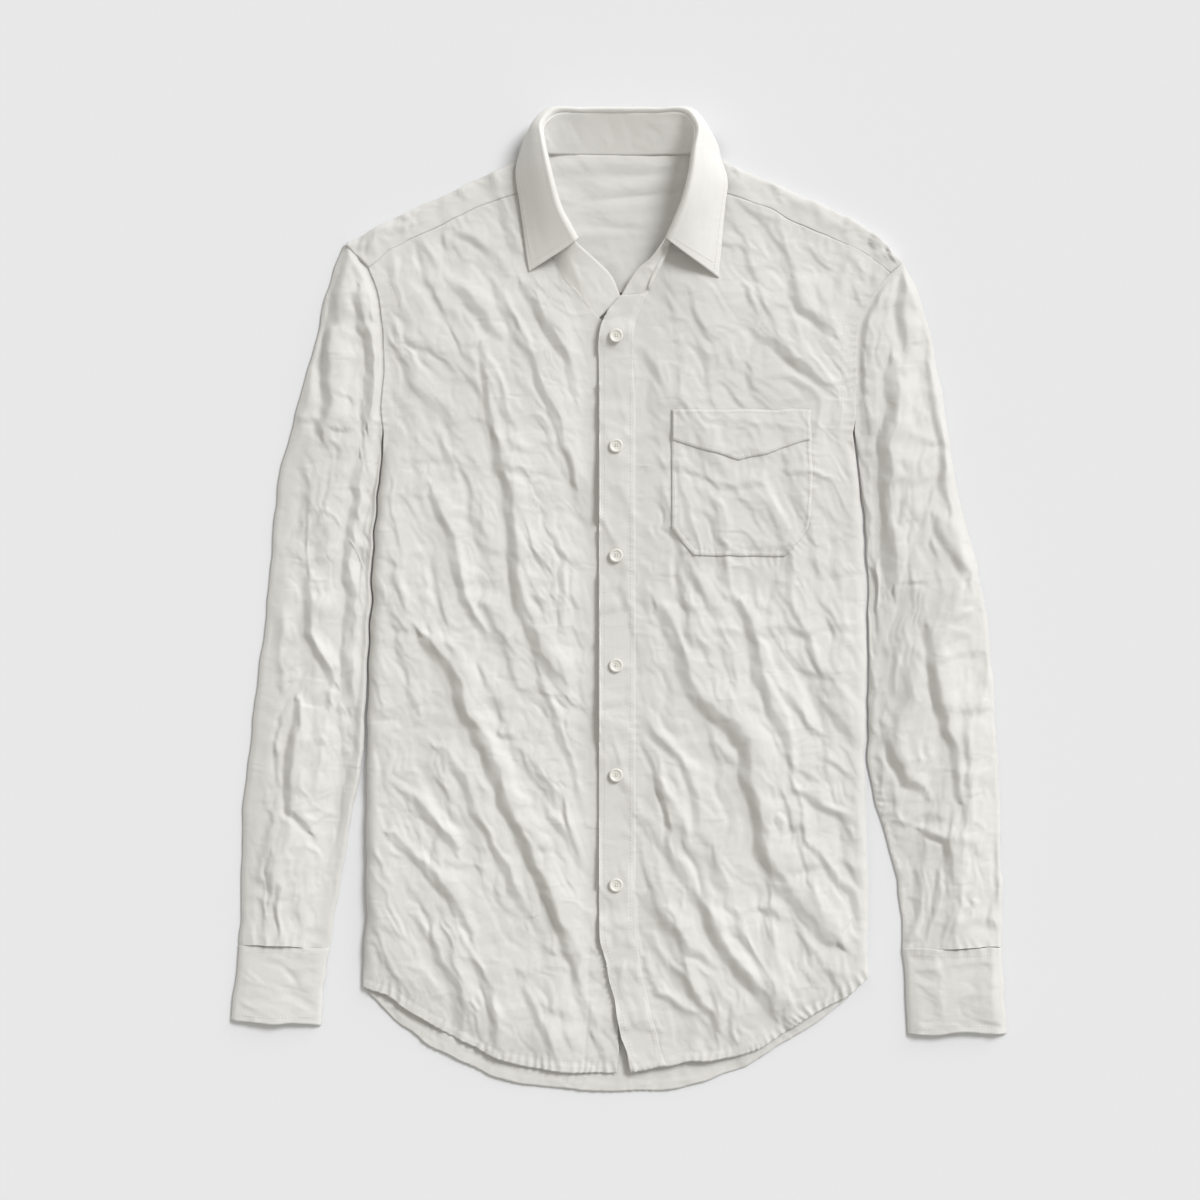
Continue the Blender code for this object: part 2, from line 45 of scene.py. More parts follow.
# Heights above the surface and widths, in millimetres
CLOTH = 0.9
FUSED = 1.3  # interlined cloth
PLY = 0.3  # wall of what is sewn flat on a front
SIDE_TOP = 2.7  # fronts at the side seams
ROLL = 9.0  # width of the rounded side edges
SIDE_SHOULDER = 8.6  # fronts just inside that edge
PLATEAU = 10.0  # fronts away from their edges
SEAM_TOP = 6.6  # along yoke seams and armholes
HEM_TOP = 4.6
HEM_WIDTH = 7.5
UNDER_TOP = 5.2  # right front under the overlap
OVER_TOP = 7.2  # left front on the overlap
HOLLOW, CREST = 3.6, 8.0  # the most that creases go below and above a front
PLACKET_RISE = 0.95
POCKET_RISE = 1.5
BAND_RISE = 1.3
BACK_WALL = 0.95
BACK_TOP = 1.15
SHOULDER_FOLD = 6.4
YOKE_BACK_Y = 258.0
SLEEVE_EDGE = 2.9
SLEEVE_CROWN = 9.0
CUFF_EDGE = 3.4
CUFF_CROWN = 6.2
TUBE_EDGE = 4.5  # width of the rounded edges of sleeves and cuffs
TUBE_UNDER = 0.3
STITCH = 0.22  # radius of a seam's stitches

CREASE_SHARE = 0.52  # of the heights given for the main creases
TAKE_UP = 1.05  # cut cloth over the ground it covers, with its creases
BACK_TAKE_UP = 1.02


def table(columns, *rows):
    """Rows with named columns."""
    row = namedtuple("Row", columns)
    return [row(*values) for values in rows]


# Outlines, as points along each seam or edge, in millimetres
LEFT_ARMHOLE = table("x y", (238, 286), (229, 274), (214, 256), (204, 236), (200, 212), (200, 167),
                     (197, 140))
RIGHT_ARMHOLE = table("x y", (-228, 301), (-220, 290), (-212, 279), (-204, 257), (-200, 236), (-199, 190),
                      (-201, 160), (-199, 138))
LEFT_SIDE = table("x y", (197, 140), (203, 90), (207, 34), (208, -80), (208, -168), (209, -252),
                  (210, -318))
RIGHT_SIDE = table("x y", (-199, 138), (-207, 34), (-211, -84), (-212, -168), (-213, -252), (-216, -326))
LEFT_HEM = table("x y", (10, -398), (57, -389), (93, -385), (118, -378), (143, -362), (166, -347),
                 (193, -333), (210, -318))
RIGHT_HEM = table("x y", (-2, -398), (-29, -398), (-60, -395), (-100, -387), (-128, -374), (-163, -354),
                  (-191, -336), (-216, -326))
BACK_HEM = table("x y", (-216, -326), (-187, -354), (-163, -372), (-128, -392), (-100, -403), (-66, -409),
                 (-23, -413), (13, -413), (60, -409), (93, -398), (148, -367), (184, -343), (210, -318))
LEFT_NECK = table("x y", (1, 256), (24, 259), (32, 276), (41, 296), (52, 313), (64, 331), (76, 345))
RIGHT_NECK = table("x y", (4, 232), (-16, 237), (-25, 247), (-33, 258), (-45, 270), (-55, 287), (-64, 306),
                   (-71, 328), (-77, 345))
LEFT_FRONT_EDGE = table("x y", (1, 256), (-9, 244), (-15, 232), (-17.5, 218), (-17.2, 200), (-17, 60),
                        (-17, -120), (-17, -262), (-17, -281), (-7, -325), (1, -365), (10, -398))
RIGHT_FRONT_EDGE = table("x y", (4, 232), (4, 60), (4, -120), (3, -281), (0, -350), (-2, -398))
PLACKET_SEAM = table("x y", (24, 258), (15, 236), (14, 160), (14, 0), (14, -160), (14, -255), (14, -270),
                     (23, -328), (33, -370), (40, -391))
LEFT_SLEEVE_OUTER = table("x y", (240, 285), (251, 262), (261, 232), (272, 178), (284, 99), (301, 34),
                          (312, -34), (318, -101), (321, -168), (323, -235), (323, -293))
LEFT_SLEEVE_INNER = table("x y", (198, 140), (205, 84), (209, 34), (210, -80), (213, -158), (223, -194),
                          (233, -230), (239, -294))
RIGHT_SLEEVE_OUTER = table("x y", (-230.5, 299), (-245, 265), (-253, 223), (-262, 194), (-273, 155),
                           (-285, 111), (-293, 34), (-300, -34), (-308, -101), (-316, -168), (-318, -235),
                           (-320, -290))
RIGHT_SLEEVE_INNER = table("x y", (-200, 138), (-208, 34), (-213, -84), (-216, -140), (-223, -176),
                           (-234, -240), (-244, -294))
CUFFS = table("side top_in_x top_in_y top_out_x top_out_y end_in_x end_in_y end_out_x end_out_y",
              ("left", 239, -293.6, 323, -293.6, 244, -366, 326.3, -365),
              ("right", -244, -293.6, -320, -290, -251, -359, -326.5, -355))
POCKET = table("y low_x high_x", (160, 44, 162), (134, 44, 161.5), (96, 44, 161), (60, 44, 160),
               (37, 62, 139))
POCKET_BAND = table("x low_y", (45, 134.5), (73, 126), (100.5, 117), (130, 126), (160, 134.5))
YOKE = table("back_x crest_x crest_y front_x front_y past", (-204, -228, 301, -212, 279, 1),
             (-190, -210, 311, -193, 294, 1), (-172, -186, 323, -170, 305.5, 1),
             (-150, -158, 336, -147, 316.5, 1), (-126, -130, 348, -123, 328, 1),
             (-102, -103, 362, -100, 337, 1), (-86, -85, 371, -87, 341.5, 1), (-78, -76, 376, -77, 345, 1),
             (-72, -70, 378, -73, 353, 0.62), (-66, -64, 378.5, -66, 358, 0.32),
             (-58, -57, 378.5, -57, 360, 0.1), (-46, -46, 378, -46, 360, 0), (-24, -24, 377.6, -24, 360, 0),
             (0, 0, 377.5, 0, 360, 0), (24, 24, 377.6, 24, 360, 0), (46, 46, 378, 46, 360, 0),
             (58, 57, 378.5, 57, 360, 0.1), (66, 64, 378.5, 66, 358, 0.32), (72, 70, 378, 72, 353, 0.62),
             (78, 76, 376, 76, 345, 1), (87, 87, 371, 87, 342.5, 1), (104, 106, 361, 104, 337.5, 1),
             (130, 134, 349, 129, 326.5, 1), (156, 164, 337, 154, 315, 1), (180, 194, 324, 180, 304, 1),
             (200, 220, 306, 206, 292, 1), (214, 238, 286, 229, 274, 1))
STAND = table("seam_x seam_y seam_z top_x top_y top_z", (-17.5, 236.5, 6.0, 1.5, 255, 6.4),
              (-27, 246.5, 6.6, -6, 272, 9.5), (-37, 258, 7.4, -18, 284, 14), (-49, 271, 7.8, -35, 299, 22),
              (-56, 289, 8, -42, 311, 27), (-65, 308, 8, -49, 324, 31), (-71, 329, 8, -55, 343, 34),
              (-73, 348, 8, -59.5, 363, 36), (-72, 362, 8.2, -62.5, 383, 33), (-66, 375, 7.6, -63, 396, 27),
              (-54, 375, 3.7, -56, 405.5, 21.5), (-28, 374.2, 2.8, -29, 408, 19.5),
              (0, 374, 2.7, 0, 408.5, 19), (28, 374.2, 2.8, 29, 408, 19.5), (54, 375, 3.7, 56, 405.5, 21.5),
              (66, 375, 7.6, 63, 395, 27), (72, 362, 8.2, 61.5, 376, 33.5), (73, 348, 8, 58.5, 352, 36),
              (66, 333, 8, 54, 334, 34), (55, 315, 8, 48, 317, 30), (43, 298, 8, 38.5, 302, 25),
              (34, 279, 8.8, 26, 286, 17.2), (25.5, 262, 8.4, 9, 268.5, 11),
              (24, 256.5, 6.9, 0, 252.5, 7.0))
LEAF = table("fold_x fold_y fold_z edge_x edge_y edge_z bulge", (-36.5, 300, 25.5, -76, 276, 9.5, 2.4),
             (-43.5, 311.5, 30, -78.5, 294, 10, 2.4), (-51, 325, 34, -81, 314, 10.5, 2.4),
             (-57, 345, 37.5, -84, 336, 11, 2.6), (-61.5, 366, 39, -87, 357, 10.5, 3),
             (-65, 385, 36, -84.5, 373, 9, 3), (-66, 398, 30.5, -79, 388, 6.5, 4),
             (-58, 408.5, 25, -64, 395, 3.6, 5.6), (-30, 411, 22.8, -32, 393, 2.2, 5.8),
             (0, 411.2, 22.4, 0, 392, 2.0, 5.8), (30, 411, 22.8, 32, 393, 2.2, 5.8),
             (59, 408.5, 25, 65, 395, 3.6, 5.6), (66, 397, 30.5, 80, 388, 6.5, 4),
             (64, 378, 37, 86, 371, 9, 3), (61, 354, 39, 91.5, 351, 10.5, 2.6),
             (56.5, 335, 37.5, 89.5, 333, 11, 2.4), (50, 318, 33.5, 87.5, 312, 10.5, 2.4),
             (41.5, 300, 28, 84, 271, 9.5, 2.4))
COLLAR_MIDDLE_Y = 340.0
BUTTON_X, BUTTON_TOP_Y, BUTTON_PITCH, BUTTONS = -2.5, 222.0, 92.3, 6

# Main creases: a trough along the path, with its ridge on the side towards the upper right
Crease = namedtuple("Crease", "height width path")
CREASES = [Crease(height, width, path) for height, width, *path in (
    # right front
    (9, 6, (-157, 88), (-139, 43), (-132, 1), (-102, -39)),
    (13, 7, (-106, 134), (-92, 71), (-87, 38), (-88, 6), (-71, -45), (-46, -79)),
    (6, 5, (-50, 134), (-35, 88)),
    (6, 5, (-58, 54), (-50, 34), (-51, -22)),
    (16, 8, (-165, -31), (-139, -70), (-123, -108), (-101, -155), (-80, -207), (-64, -249),
     (-43, -292), (-39, -319), (-24, -361)),
    (8, 6, (-154, -127), (-132, -148), (-117, -187), (-97, -228), (-80, -270)),
    (6, 5, (-181, -164), (-150, -196), (-138, -212)),
    (7, 5, (-192, -199), (-162, -228), (-134, -265), (-125, -281)),
    (7, 5, (-173, -268), (-153, -296), (-138, -321), (-129, -348)),
    (5, 5, (-204, 6), (-192, -18)),
    (5, 5, (-180, -75), (-171, -91)),
    (6, 5, (-67, -72), (-50, -115), (-37, -164), (-30, -183)),
    (6, 5, (-67, -159), (-40, -208), (-24, -229)),
    (6, 5, (-64, -252), (-47, -291), (-35, -325)),
    (5, 5, (-85, -316), (-66, -358), (-60, -379)),
    # right chest
    (7, 5, (-143, 315), (-104, 288)),
    (6, 5, (-197, 302), (-186, 252)),
    (5, 4, (-179, 308), (-156, 277)),
    (8, 6, (-143, 265), (-104, 225)),
    (9, 6, (-82, 264), (-64, 230), (-44, 201), (-37, 171)),
    (6, 5, (-116, 212), (-113, 167), (-96, 91)),
    (7, 5, (-87, 221), (-50, 144), (-37, 99)),
    (4, 4, (-154, 138), (-139, 104)),
    # left front
    (16, 9, (32, -9), (53, -62), (68, -89), (102, -123), (106, -150), (120, -213), (139, -253), (182, -287)),
    (5, 5, (16, 4), (24, -13)),
    (7, 5, (16, -94), (44, -126), (56, -152), (64, -195), (71, -203)),
    (14, 8, (17, -186), (39, -213), (70, -262), (101, -312), (129, -349)),
    (8, 6, (18, -251), (57, -293), (82, -306)),
    (7, 5, (20, -280), (57, -323), (82, -360)),
    (5, 4, (20, -302), (29, -331), (70, -356)),
    (9, 6, (92, -3), (111, -39), (123, -87), (143, -124)),
    (6, 5, (137, -78), (156, -107), (169, -112)),
    (6, 5, (174, -89), (201, -122)),
    (4, 4, (150, -141), (164, -150)),
    (5, 4, (171, -131), (196, -149)),
    (7, 5, (153, -163), (176, -175), (204, -191)),
    (7, 5, (160, -207), (176, -229), (197, -247), (204, -275)),
    (6, 5, (58, 22), (79, -18)),
    # left chest
    (8, 6, (146, 268), (153, 244), (180, 223)),
    (9, 6, (115, 225), (137, 209), (178, 176)),
    (5, 4, (106, 261), (113, 245)),
    (6, 5, (16, 207), (36, 181)),
    (6, 5, (192, 297), (182, 257)),
    (5, 4, (212, 275), (216, 250)),
    # right sleeve
    (8, 7, (-219, 118), (-226, 34), (-228, -60), (-232, -150)),
    (14, 7, (-230, 294), (-238, 262), (-243, 220), (-249, 144)),
    (10, 6, (-219, 258), (-213, 210), (-212, 150)),
    (8, 6, (-286, 34), (-291, -39), (-286, -71)),
    (7, 6, (-262, 19), (-262, -29), (-240, -68)),
    (8, 6, (-273, -87), (-279, -130), (-277, -176), (-262, -194)),
    (5, 5, (-293, -216), (-295, -250)),
    # left sleeve
    (7, 6, (237, 282), (239, 216)),
    (10, 9, (228, 197), (224, 79), (230, 14)),
    (7, 6, (260, 191), (271, 122), (277, 79)),
    (7, 6, (265, 68), (291, 17)),
    (8, 6, (259, -27), (268, -76), (287, -166)),
    (7, 6, (222, -108), (237, -158), (255, -166)),
    (6, 5, (255, -194), (275, -203), (275, -239)),
)]


# ---------------------------------------------------------------- curves and panels

def lengths(line):
    """How far along a bent line each of its points is."""
    return np.r_[0, np.cumsum(np.linalg.norm(np.diff(line, axis=0), axis=1))]


def evenly(line, count, part=1):
    """count + 1 points at equal steps along a part of a bent line."""
    run = lengths(line)
    even = np.linspace(0, run[-1] * part, count + 1)
    return np.stack([np.interp(even, run, line[:, i]) for i in range(line.shape[1])], axis=1)


def curve_at(p, chord, at):
    """A smooth curve through points p, which are chord along it, read at other distances."""
    slope = np.gradient(p, chord, axis=0)
    k = np.clip(np.searchsorted(chord, at, side="right") - 1, 0, len(p) - 2)
    h = (chord[k + 1] - chord[k])[:, None]
    t = (at - chord[k])[:, None] / h
    return ((2 * t**3 - 3 * t**2 + 1) * p[k] + (t**3 - 2 * t**2 + t) * h * slope[k]
            + (3 * t**2 - 2 * t**3) * p[k + 1] + (t**3 - t**2) * h * slope[k + 1])


def smooth_curve(points, count):
    """count + 1 points at equal steps along a smooth curve through the given ones."""
    p = np.array([tuple(q) for q in points], float)
    chord = lengths(p)
    return evenly(curve_at(p, chord, np.linspace(0, chord[-1], max(40 * len(p), 4 * count))), count)


def through(columns, stations, count):
    """Values of table columns read smoothly along its rows, at count + 1 equal steps of the first two."""
    p = np.array([[getattr(row, name) for name in columns.split()] for row in stations], float)
    chord = lengths(p[:, :2])
    return curve_at(p, chord, np.linspace(0, chord[-1], count + 1))


def in_plan(path):
    """A path's points in plan."""
    return np.array([tuple(q)[:2] for q in path], float)


def edge(*pieces):
    """Points along an edge made of pieces, each a curve and its count of steps, with true corners."""
    curves = [smooth_curve(points, count) for points, count in pieces]
    return np.vstack([curves[0], *(curve[1:] for curve in curves[1:])])


def patch(top, bottom, first, last):
    """Plan points of a panel between four edges: [row from top to bottom][column]."""
    u = np.linspace(0, 1, len(top))[None, :, None]
    v = np.linspace(0, 1, len(first))[:, None, None]
    sides = (1 - u) * first[:, None] + u * last[:, None]
    ends = (1 - v) * top[None] + v * bottom[None]
    corners = (1 - v) * ((1 - u) * top[0] + u * top[-1]) + v * ((1 - u) * bottom[0] + u * bottom[-1])
    return sides + ends - corners


def inset(grid, amount=0.15):
    """The panel stops short of its edges, each of them moved towards the next row or column."""
    out = grid.copy()
    for last, inner in ((0, 1), (-1, -2)):
        for of_edge, of_inner in (((last,), (inner,)), ((slice(None), last), (slice(None), inner))):
            step = grid[of_inner] - grid[of_edge]
            out[of_edge] += amount * step / np.maximum(np.linalg.norm(step, axis=-1, keepdims=True), 1e-9)
    return out


def from_line(x, y, line, signed=False):
    """Distance of points from a bent line, and how far along it they are in its own length.
    Signed distances are positive on the side of +X."""
    line = in_plan(line)
    run = lengths(line)
    best = np.full(np.shape(x), np.inf)
    where = np.zeros(np.shape(x))
    side = np.ones(np.shape(x))
    for i, (a, b) in enumerate(zip(line[:-1], line[1:])):
        d = b - a
        t = np.clip(((x - a[0]) * d[0] + (y - a[1]) * d[1]) / (d @ d), 0, 1)
        away = np.hypot(x - a[0] - t * d[0], y - a[1] - t * d[1])
        nearer = away < best
        best = np.where(nearer, away, best)
        where = np.where(nearer, run[i] + t * (run[i + 1] - run[i]), where)
        if signed:
            cross = (x - a[0]) * d[1] - (y - a[1]) * d[0]
            side = np.where(nearer, np.sign(cross) * (1 if d[1] > 0 else -1), side)
    return (best * side if signed else best), where


def gap(x, y, line):
    """Distance of points from a bent line."""
    return from_line(x, y, line)[0]


def ramp(value, start, end):
    """0 before start, 1 after end, smooth between."""
    t = np.clip((value - start) / (end - start), 0, 1)
    return t * t * (3 - 2 * t)


def bell(distance, width):
    """1 at no distance, dying away on both sides."""
    return np.exp(-((distance / width) ** 2))


def held(bumps, low, high):
    """Bumps that level off at low below and at high above."""
    return np.where(bumps < 0, -low * np.tanh(-bumps / low), high * np.tanh(bumps / high))


def unit(v):
    return v / np.linalg.norm(v, axis=-1, keepdims=True)


# ---------------------------------------------------------------- relief of the cloth

LOW = np.array([-350.0, -432.0])
GX, GY = np.meshgrid(np.arange(LOW[0], 351), np.arange(LOW[1], 433))


def sample(field, x, y):
    """Field values at points, read between its millimetre steps."""
    fx = np.clip(x - LOW[0], 0, field.shape[1] - 1.001)
    fy = np.clip(y - LOW[1], 0, field.shape[0] - 1.001)
    i, j = fx.astype(int), fy.astype(int)
    a, b = fx - i, fy - j
    return ((1 - a) * (1 - b) * field[j, i] + a * (1 - b) * field[j, i + 1]
            + (1 - a) * b * field[j + 1, i] + a * b * field[j + 1, i + 1])


def noise(seed, long, short, angle):
    """A smooth random field of unit spread, drawn out along angle."""
    white = np.random.default_rng(seed).standard_normal(GX.shape)
    ky, kx = np.meshgrid(np.fft.fftfreq(GX.shape[0]), np.fft.fftfreq(GX.shape[1]), indexing="ij")
    c, s = math.cos(math.radians(angle)), math.sin(math.radians(angle))
    along, across = kx * c + ky * s, -kx * s + ky * c
    keep = np.exp(-2 * np.pi**2 * ((along * long) ** 2 + (across * short) ** 2))
    field = np.fft.ifft2(np.fft.fft2(white) * keep).real
    return field / field.std()


def window(path, margin):
    """The part of the field round a path."""
    p = in_plan(path)
    low = np.clip((p.min(0) - margin - LOW).astype(int), 0, None)
    high = (p.max(0) + margin - LOW).astype(int) + 2
    return slice(low[1], high[1]), slice(low[0], high[0])


def creases():
    """The main creases: a steep side towards the lower left, a long slope towards the upper right."""
    field, calm = np.zeros(GX.shape), np.zeros(GX.shape)
    wander, uneven = 1.6 * noise(11, 11, 11, 0) + 0.7 * noise(13, 3.5, 3.5, 0), noise(12, 8, 8, 0)
    for crease in CREASES:
        line, width = np.array(crease.path, float), 1.25 * crease.width
        length = np.sum(np.linalg.norm(np.diff(line, axis=0), axis=1))
        part = window(line, 7 * width)
        off, where = from_line(GX[part], GY[part], line, signed=True)
        s = where / length
        size = np.sin(np.pi * np.clip(s, 0.05, 0.95)) ** 0.4 * (0.88 + 0.2 * uneven[part])
        size *= np.where((s <= 0) | (s >= 1), bell(off, 1.2 * width), 1.0)
        d = (off + wander[part]) / (width * (0.75 + 0.25 * size))
        shape = np.interp(d, (-2.6, -1.2, -0.5, 0.62, 0.95, 2.4, 4.6), (0, -0.12, -0.42, 0.95, 0.86, 0.3, 0))
        field[part] += CREASE_SHARE * crease.height * size * shape
        quiet = size * np.exp(-(((d - 0.1) / 1.0) ** 4)) * min(1, crease.height / 8)
        calm[part] = np.maximum(calm[part], quiet)
    return field, np.clip(calm, 0, 1)


def facets(seed, long, short, angle, warp):
    """Flat facets meeting at sharp creases, of unit spread, drawn out along angle."""
    c, s = math.cos(math.radians(angle)), math.sin(math.radians(angle))
    wx, wy = noise(seed + 1, 0.5 * long, 0.5 * long, 0), noise(seed + 2, 0.5 * long, 0.5 * long, 0)
    x, y = GX + warp * wx, GY + warp * wy
    u, v = (x * c + y * s) / long + 40, (-x * s + y * c) / short + 120
    u = u + 0.5 * v
    i, j = np.floor(u).astype(int), np.floor(v).astype(int)
    f, g = u - i, v - j
    corner = np.random.default_rng(seed).standard_normal((257, 257))
    steps = (0, 0), (1, 0), (0, 1), (1, 1)
    near, right, above, far = (corner[(i + a) % 257, (j + b) % 257] for a, b in steps)
    lower = near + f * (right - near) + g * (above - near)
    upper = far + (1 - f) * (above - far) + (1 - g) * (right - far)
    return np.where(f + g < 1, lower, upper)


def ridges(field, soft):
    """Ridges on both sides of a field's zero lines."""
    return np.sqrt(field * field + soft * soft)


def crumple():
    """Unplanned creases between the main ones, drawn out along the way the cloth was wrung."""
    chest = ramp(GY, 40, 190)
    sleeve = ramp(np.abs(GX) - 0.03 * (300 - GY), 203, 212)
    field = np.zeros(GX.shape)
    for angle, weight in ((-60, (1 - chest) * (1 - sleeve)), (-50, chest * (1 - sleeve)), (-84, sleeve)):
        seed = 100 - 10 * angle
        big = ridges(noise(seed, 30, 9, angle), 0.1) - ridges(noise(seed + 1, 34, 11, angle), 0.2)
        mid = facets(seed + 2, 32, 12, angle - 6, 5)
        small = facets(seed + 5, 12, 5, angle + 14, 2.5)
        broad = facets(seed + 8, 75, 27, angle - 4, 9)
        field += weight * (1.9 * broad + 0.4 * big + 0.95 * mid + 0.4 * small)
    field += 0.75 * facets(35, 22, 15, 20, 4) + 0.1 * facets(38, 6, 4, 60, 1.5)
    lean = 1.6 * field
    return sample(field, GX + lean, GY + 0.7 * lean)


FAINT = 0.8 * np.sqrt(noise(41, 22, 5, 4) ** 2 + 0.1) + 0.4 * noise(42, 12, 12, 0)
SWAY_X = 0.5 * noise(51, 6, 6, 0) + 0.4 * noise(52, 20, 20, 0)
SWAY_Y = 0.5 * noise(53, 6, 6, 0) + 0.3 * noise(54, 20, 20, 0)


def pucker(field, path, pitch, height, reach, seed):
    """Short ripples across a seam, uneven in height, dying away from it."""
    line = in_plan(path)
    part = window(line, 3 * reach)
    away, where = from_line(GX[part], GY[part], line)
    uneven = noise(seed, 10, 10, 0)[part]
    wave = 1 - 1.6 * np.abs(np.sin(np.pi * where / pitch + 1.6 * uneven))
    wave = wave * (0.7 + 0.5 * noise(seed + 1, 8, 8, 0)[part])
    field[part] += height * wave * np.exp(-((away / reach) ** 2.5))


MAIN, CALM = creases()
CRUMPLE = crumple() * (1 - 0.8 * CALM)
PUCKER = np.zeros(GX.shape)
for number, (path, pitch, height, reach) in enumerate((
        (edge((LEFT_HEM, 60)), 6.5, 1.3, 9), (edge((RIGHT_HEM, 60)), 6.5, 1.7, 9),
        (edge((BACK_HEM, 90)), 6.0, 1.1, 9),
        (edge((LEFT_ARMHOLE[2:], 30)), 7.5, 0.45, 10), (edge((RIGHT_ARMHOLE[2:], 30)), 8, 0.3, 8),
        (edge((PLACKET_SEAM, 60)), 7.0, 0.3, 7),
        ([(44, 60), (62, 37), (139, 37), (160, 60)], 6.5, 0.6, 8),
        ([(162, 160), (161, 60)], 8, 0.35, 6), ([(44, 158), (44, 60)], 9, 0.25, 6),
        ([(239, -294), (323, -294)], 10, 0.5, 9), ([(-244, -294), (-320, -290)], 10, 0.5, 9),
        (edge((LEFT_SLEEVE_INNER[4:], 20)), 6.5, 0.6, 8),
        ([(77, 345), (229, 274)], 9, 0.3, 7), ([(-77, 345), (-212, 279)], 9, 0.25, 7))):
    pucker(PUCKER, path, pitch, height, reach, 300 + 2 * number)


def relief(x, y, main=1.0, small=1.0):
    """Creases at points, softer on the chest."""
    on_chest = 1 - 0.25 * ramp(y, 60, 200) * (1 - ramp(np.abs(x), 195, 215))
    return on_chest * (main * sample(MAIN, x, y) + small * sample(CRUMPLE, x, y))


# ---------------------------------------------------------------- heights of the layers

Front = namedtuple("Front", "sign side armhole hem overlap_top shoulder roll overlap_creases")
FRONTS = {
    "left": Front(1, LEFT_SIDE, LEFT_ARMHOLE, LEFT_HEM, OVER_TOP, SIDE_SHOULDER, ROLL, 0.3),
    "right": Front(-1, RIGHT_SIDE, RIGHT_ARMHOLE, RIGHT_HEM, UNDER_TOP, SIDE_SHOULDER + 2, 1.1 * ROLL, 0.08)}


def yoke_seam(side):
    """The yoke's front seam on one side (1 the left, -1 the right), from the neck outwards."""
    seam = [(row.front_x, row.front_y) for row in YOKE if row.past == 1 and row.front_x * side > 0]
    return np.array(sorted(seam, key=lambda point: abs(point[0])), float)


def seam_z(x, y):
    """Height of fronts and yoke where they are joined."""
    return SEAM_TOP + np.clip(0.45 * relief(x, y, 0.6, 1.0), -1.2, 2.2) + sample(PUCKER, x, y)


def from_overlap(side, x, y):
    """Distance of points on a front from where the fronts lie on each other."""
    if side == "right":
        return np.maximum(-19 - x, 0)
    return np.where(sample(UNDER_PLACKET, x, y) > 0.5, 0, gap(x, y, PLACKET_SEAM))


def front_form(front, x, y, apart, from_side, from_hem):
    """A front's height without its creases, and how much of the creases shows. Both change with the
    distance from its edges, and the cloth is calm where it is sewn or lies double."""
    from_armhole = gap(x, y, front.armhole)
    free = ramp(apart, 0, 26)
    base = front.shoulder + (PLATEAU - front.shoulder) * ramp(from_side, 6, 46)
    base = front.overlap_top + (base - front.overlap_top) * ramp(apart, 0, 40)
    base += (SEAM_TOP - base) * ramp(y, 245, 300) * ramp(np.abs(x), 20, 60)
    base += (SEAM_TOP - base) * (1 - ramp(from_armhole, 2, 30))
    hem = 1 - ramp(from_hem, 0, 34)
    base += (HEM_TOP + (front.overlap_top - UNDER_TOP) * (1 - free) - base) * hem * 0.85
    free = np.maximum(free, 0.7 * (1 - ramp(y, -300, -220)))
    shown = front.overlap_creases + (1 - front.overlap_creases) * free
    shown *= 0.45 + 0.55 * ramp(from_side, 3, 22)
    shown *= 0.2 + 0.8 * ramp(from_armhole, 2, 16)
    shown *= 0.55 + 0.45 * ramp(from_hem, 3, 20)
    shown *= 1 - 0.6 * ramp(y, 250, 290) * (1 - ramp(np.abs(x), 60, 100))
    return base, shown


def front_z(side, x, y):
    """Outer height of one front."""
    front = FRONTS[side]
    from_side, from_hem = gap(x, y, front.side), gap(x, y, edge((front.hem, 24)))
    apart = from_overlap(side, x, y)
    base, shown = front_form(front, x, y, apart, from_side, from_hem)
    if side == "left":
        base += 3.2 * bell(x - 66, 15) * (1 - ramp(from_hem, 0, 26))  # the hem is lifted here
    z = base + held(relief(x, y) * shown, HOLLOW, CREST) + sample(PUCKER, x, y)
    z = seam_z(x, y) + (z - seam_z(x, y)) * ramp(gap(x, y, yoke_seam(front.sign)), 0, 14)
    # The hem is a fold thicker, with a groove along its stitches
    z += 0.45 * (1 - ramp(from_hem, HEM_WIDTH - 0.6, HEM_WIDTH + 0.2)) - 0.4 * bell(from_hem - 7, 1.1)
    if side == "left":
        over = apart < 0.5  # the strip under the placket, which is wavy and clear of the right front
        z += over * ramp(gap(x, y, PLACKET_SEAM), 1, 7) * (1.3 * sample(FAINT, x + 70, 0.8 * y) - 0.8)
        z = np.where(over, np.maximum(z, UNDER_TOP + 1.5), z)
        z = z + 3.2 * bell(gap(x, y, [(25, 263), (33, 279), (42, 298)]), 2.0)  # rolled out at the neck
    else:
        under_stitch = gap(x, y, [(-24, -240), (-26, -345), (-29, -396)])
        z = z - 0.5 * bell(under_stitch, 0.9) * (1 - ramp(y, -330, -250))
        # Pressed down towards the left front's edge, and under it
        past_edge, _ = from_line(x, y, edge((LEFT_FRONT_EDGE, 30)), signed=True)
        z = np.minimum(z, UNDER_TOP + 0.5 + 0.32 * np.maximum(-2 - past_edge, 0))
    roll = np.sqrt(np.clip(1 - (1 - np.clip(from_side / front.roll, 0, 1)) ** 2, 0, 1))
    roll = np.maximum(roll, ramp(y, 112, 138))
    return SIDE_TOP + np.maximum(z - SIDE_TOP, 0.3) * roll


def left_z(x, y):
    return front_z("left", x, y)


def right_z(x, y):
    return front_z("right", x, y)


def inside(outline):
    """1 in the field inside a closed outline."""
    p = in_plan(outline)
    found = np.zeros(GX.shape, bool)
    for (ax, ay), (bx, by) in zip(p, np.roll(p, -1, axis=0)):
        crosses = (ay > GY) != (by > GY)
        with np.errstate(divide="ignore", invalid="ignore"):
            at = ax + (GY - ay) * (bx - ax) / (by - ay)
        found ^= crosses & (GX < at)
    return found.astype(float)


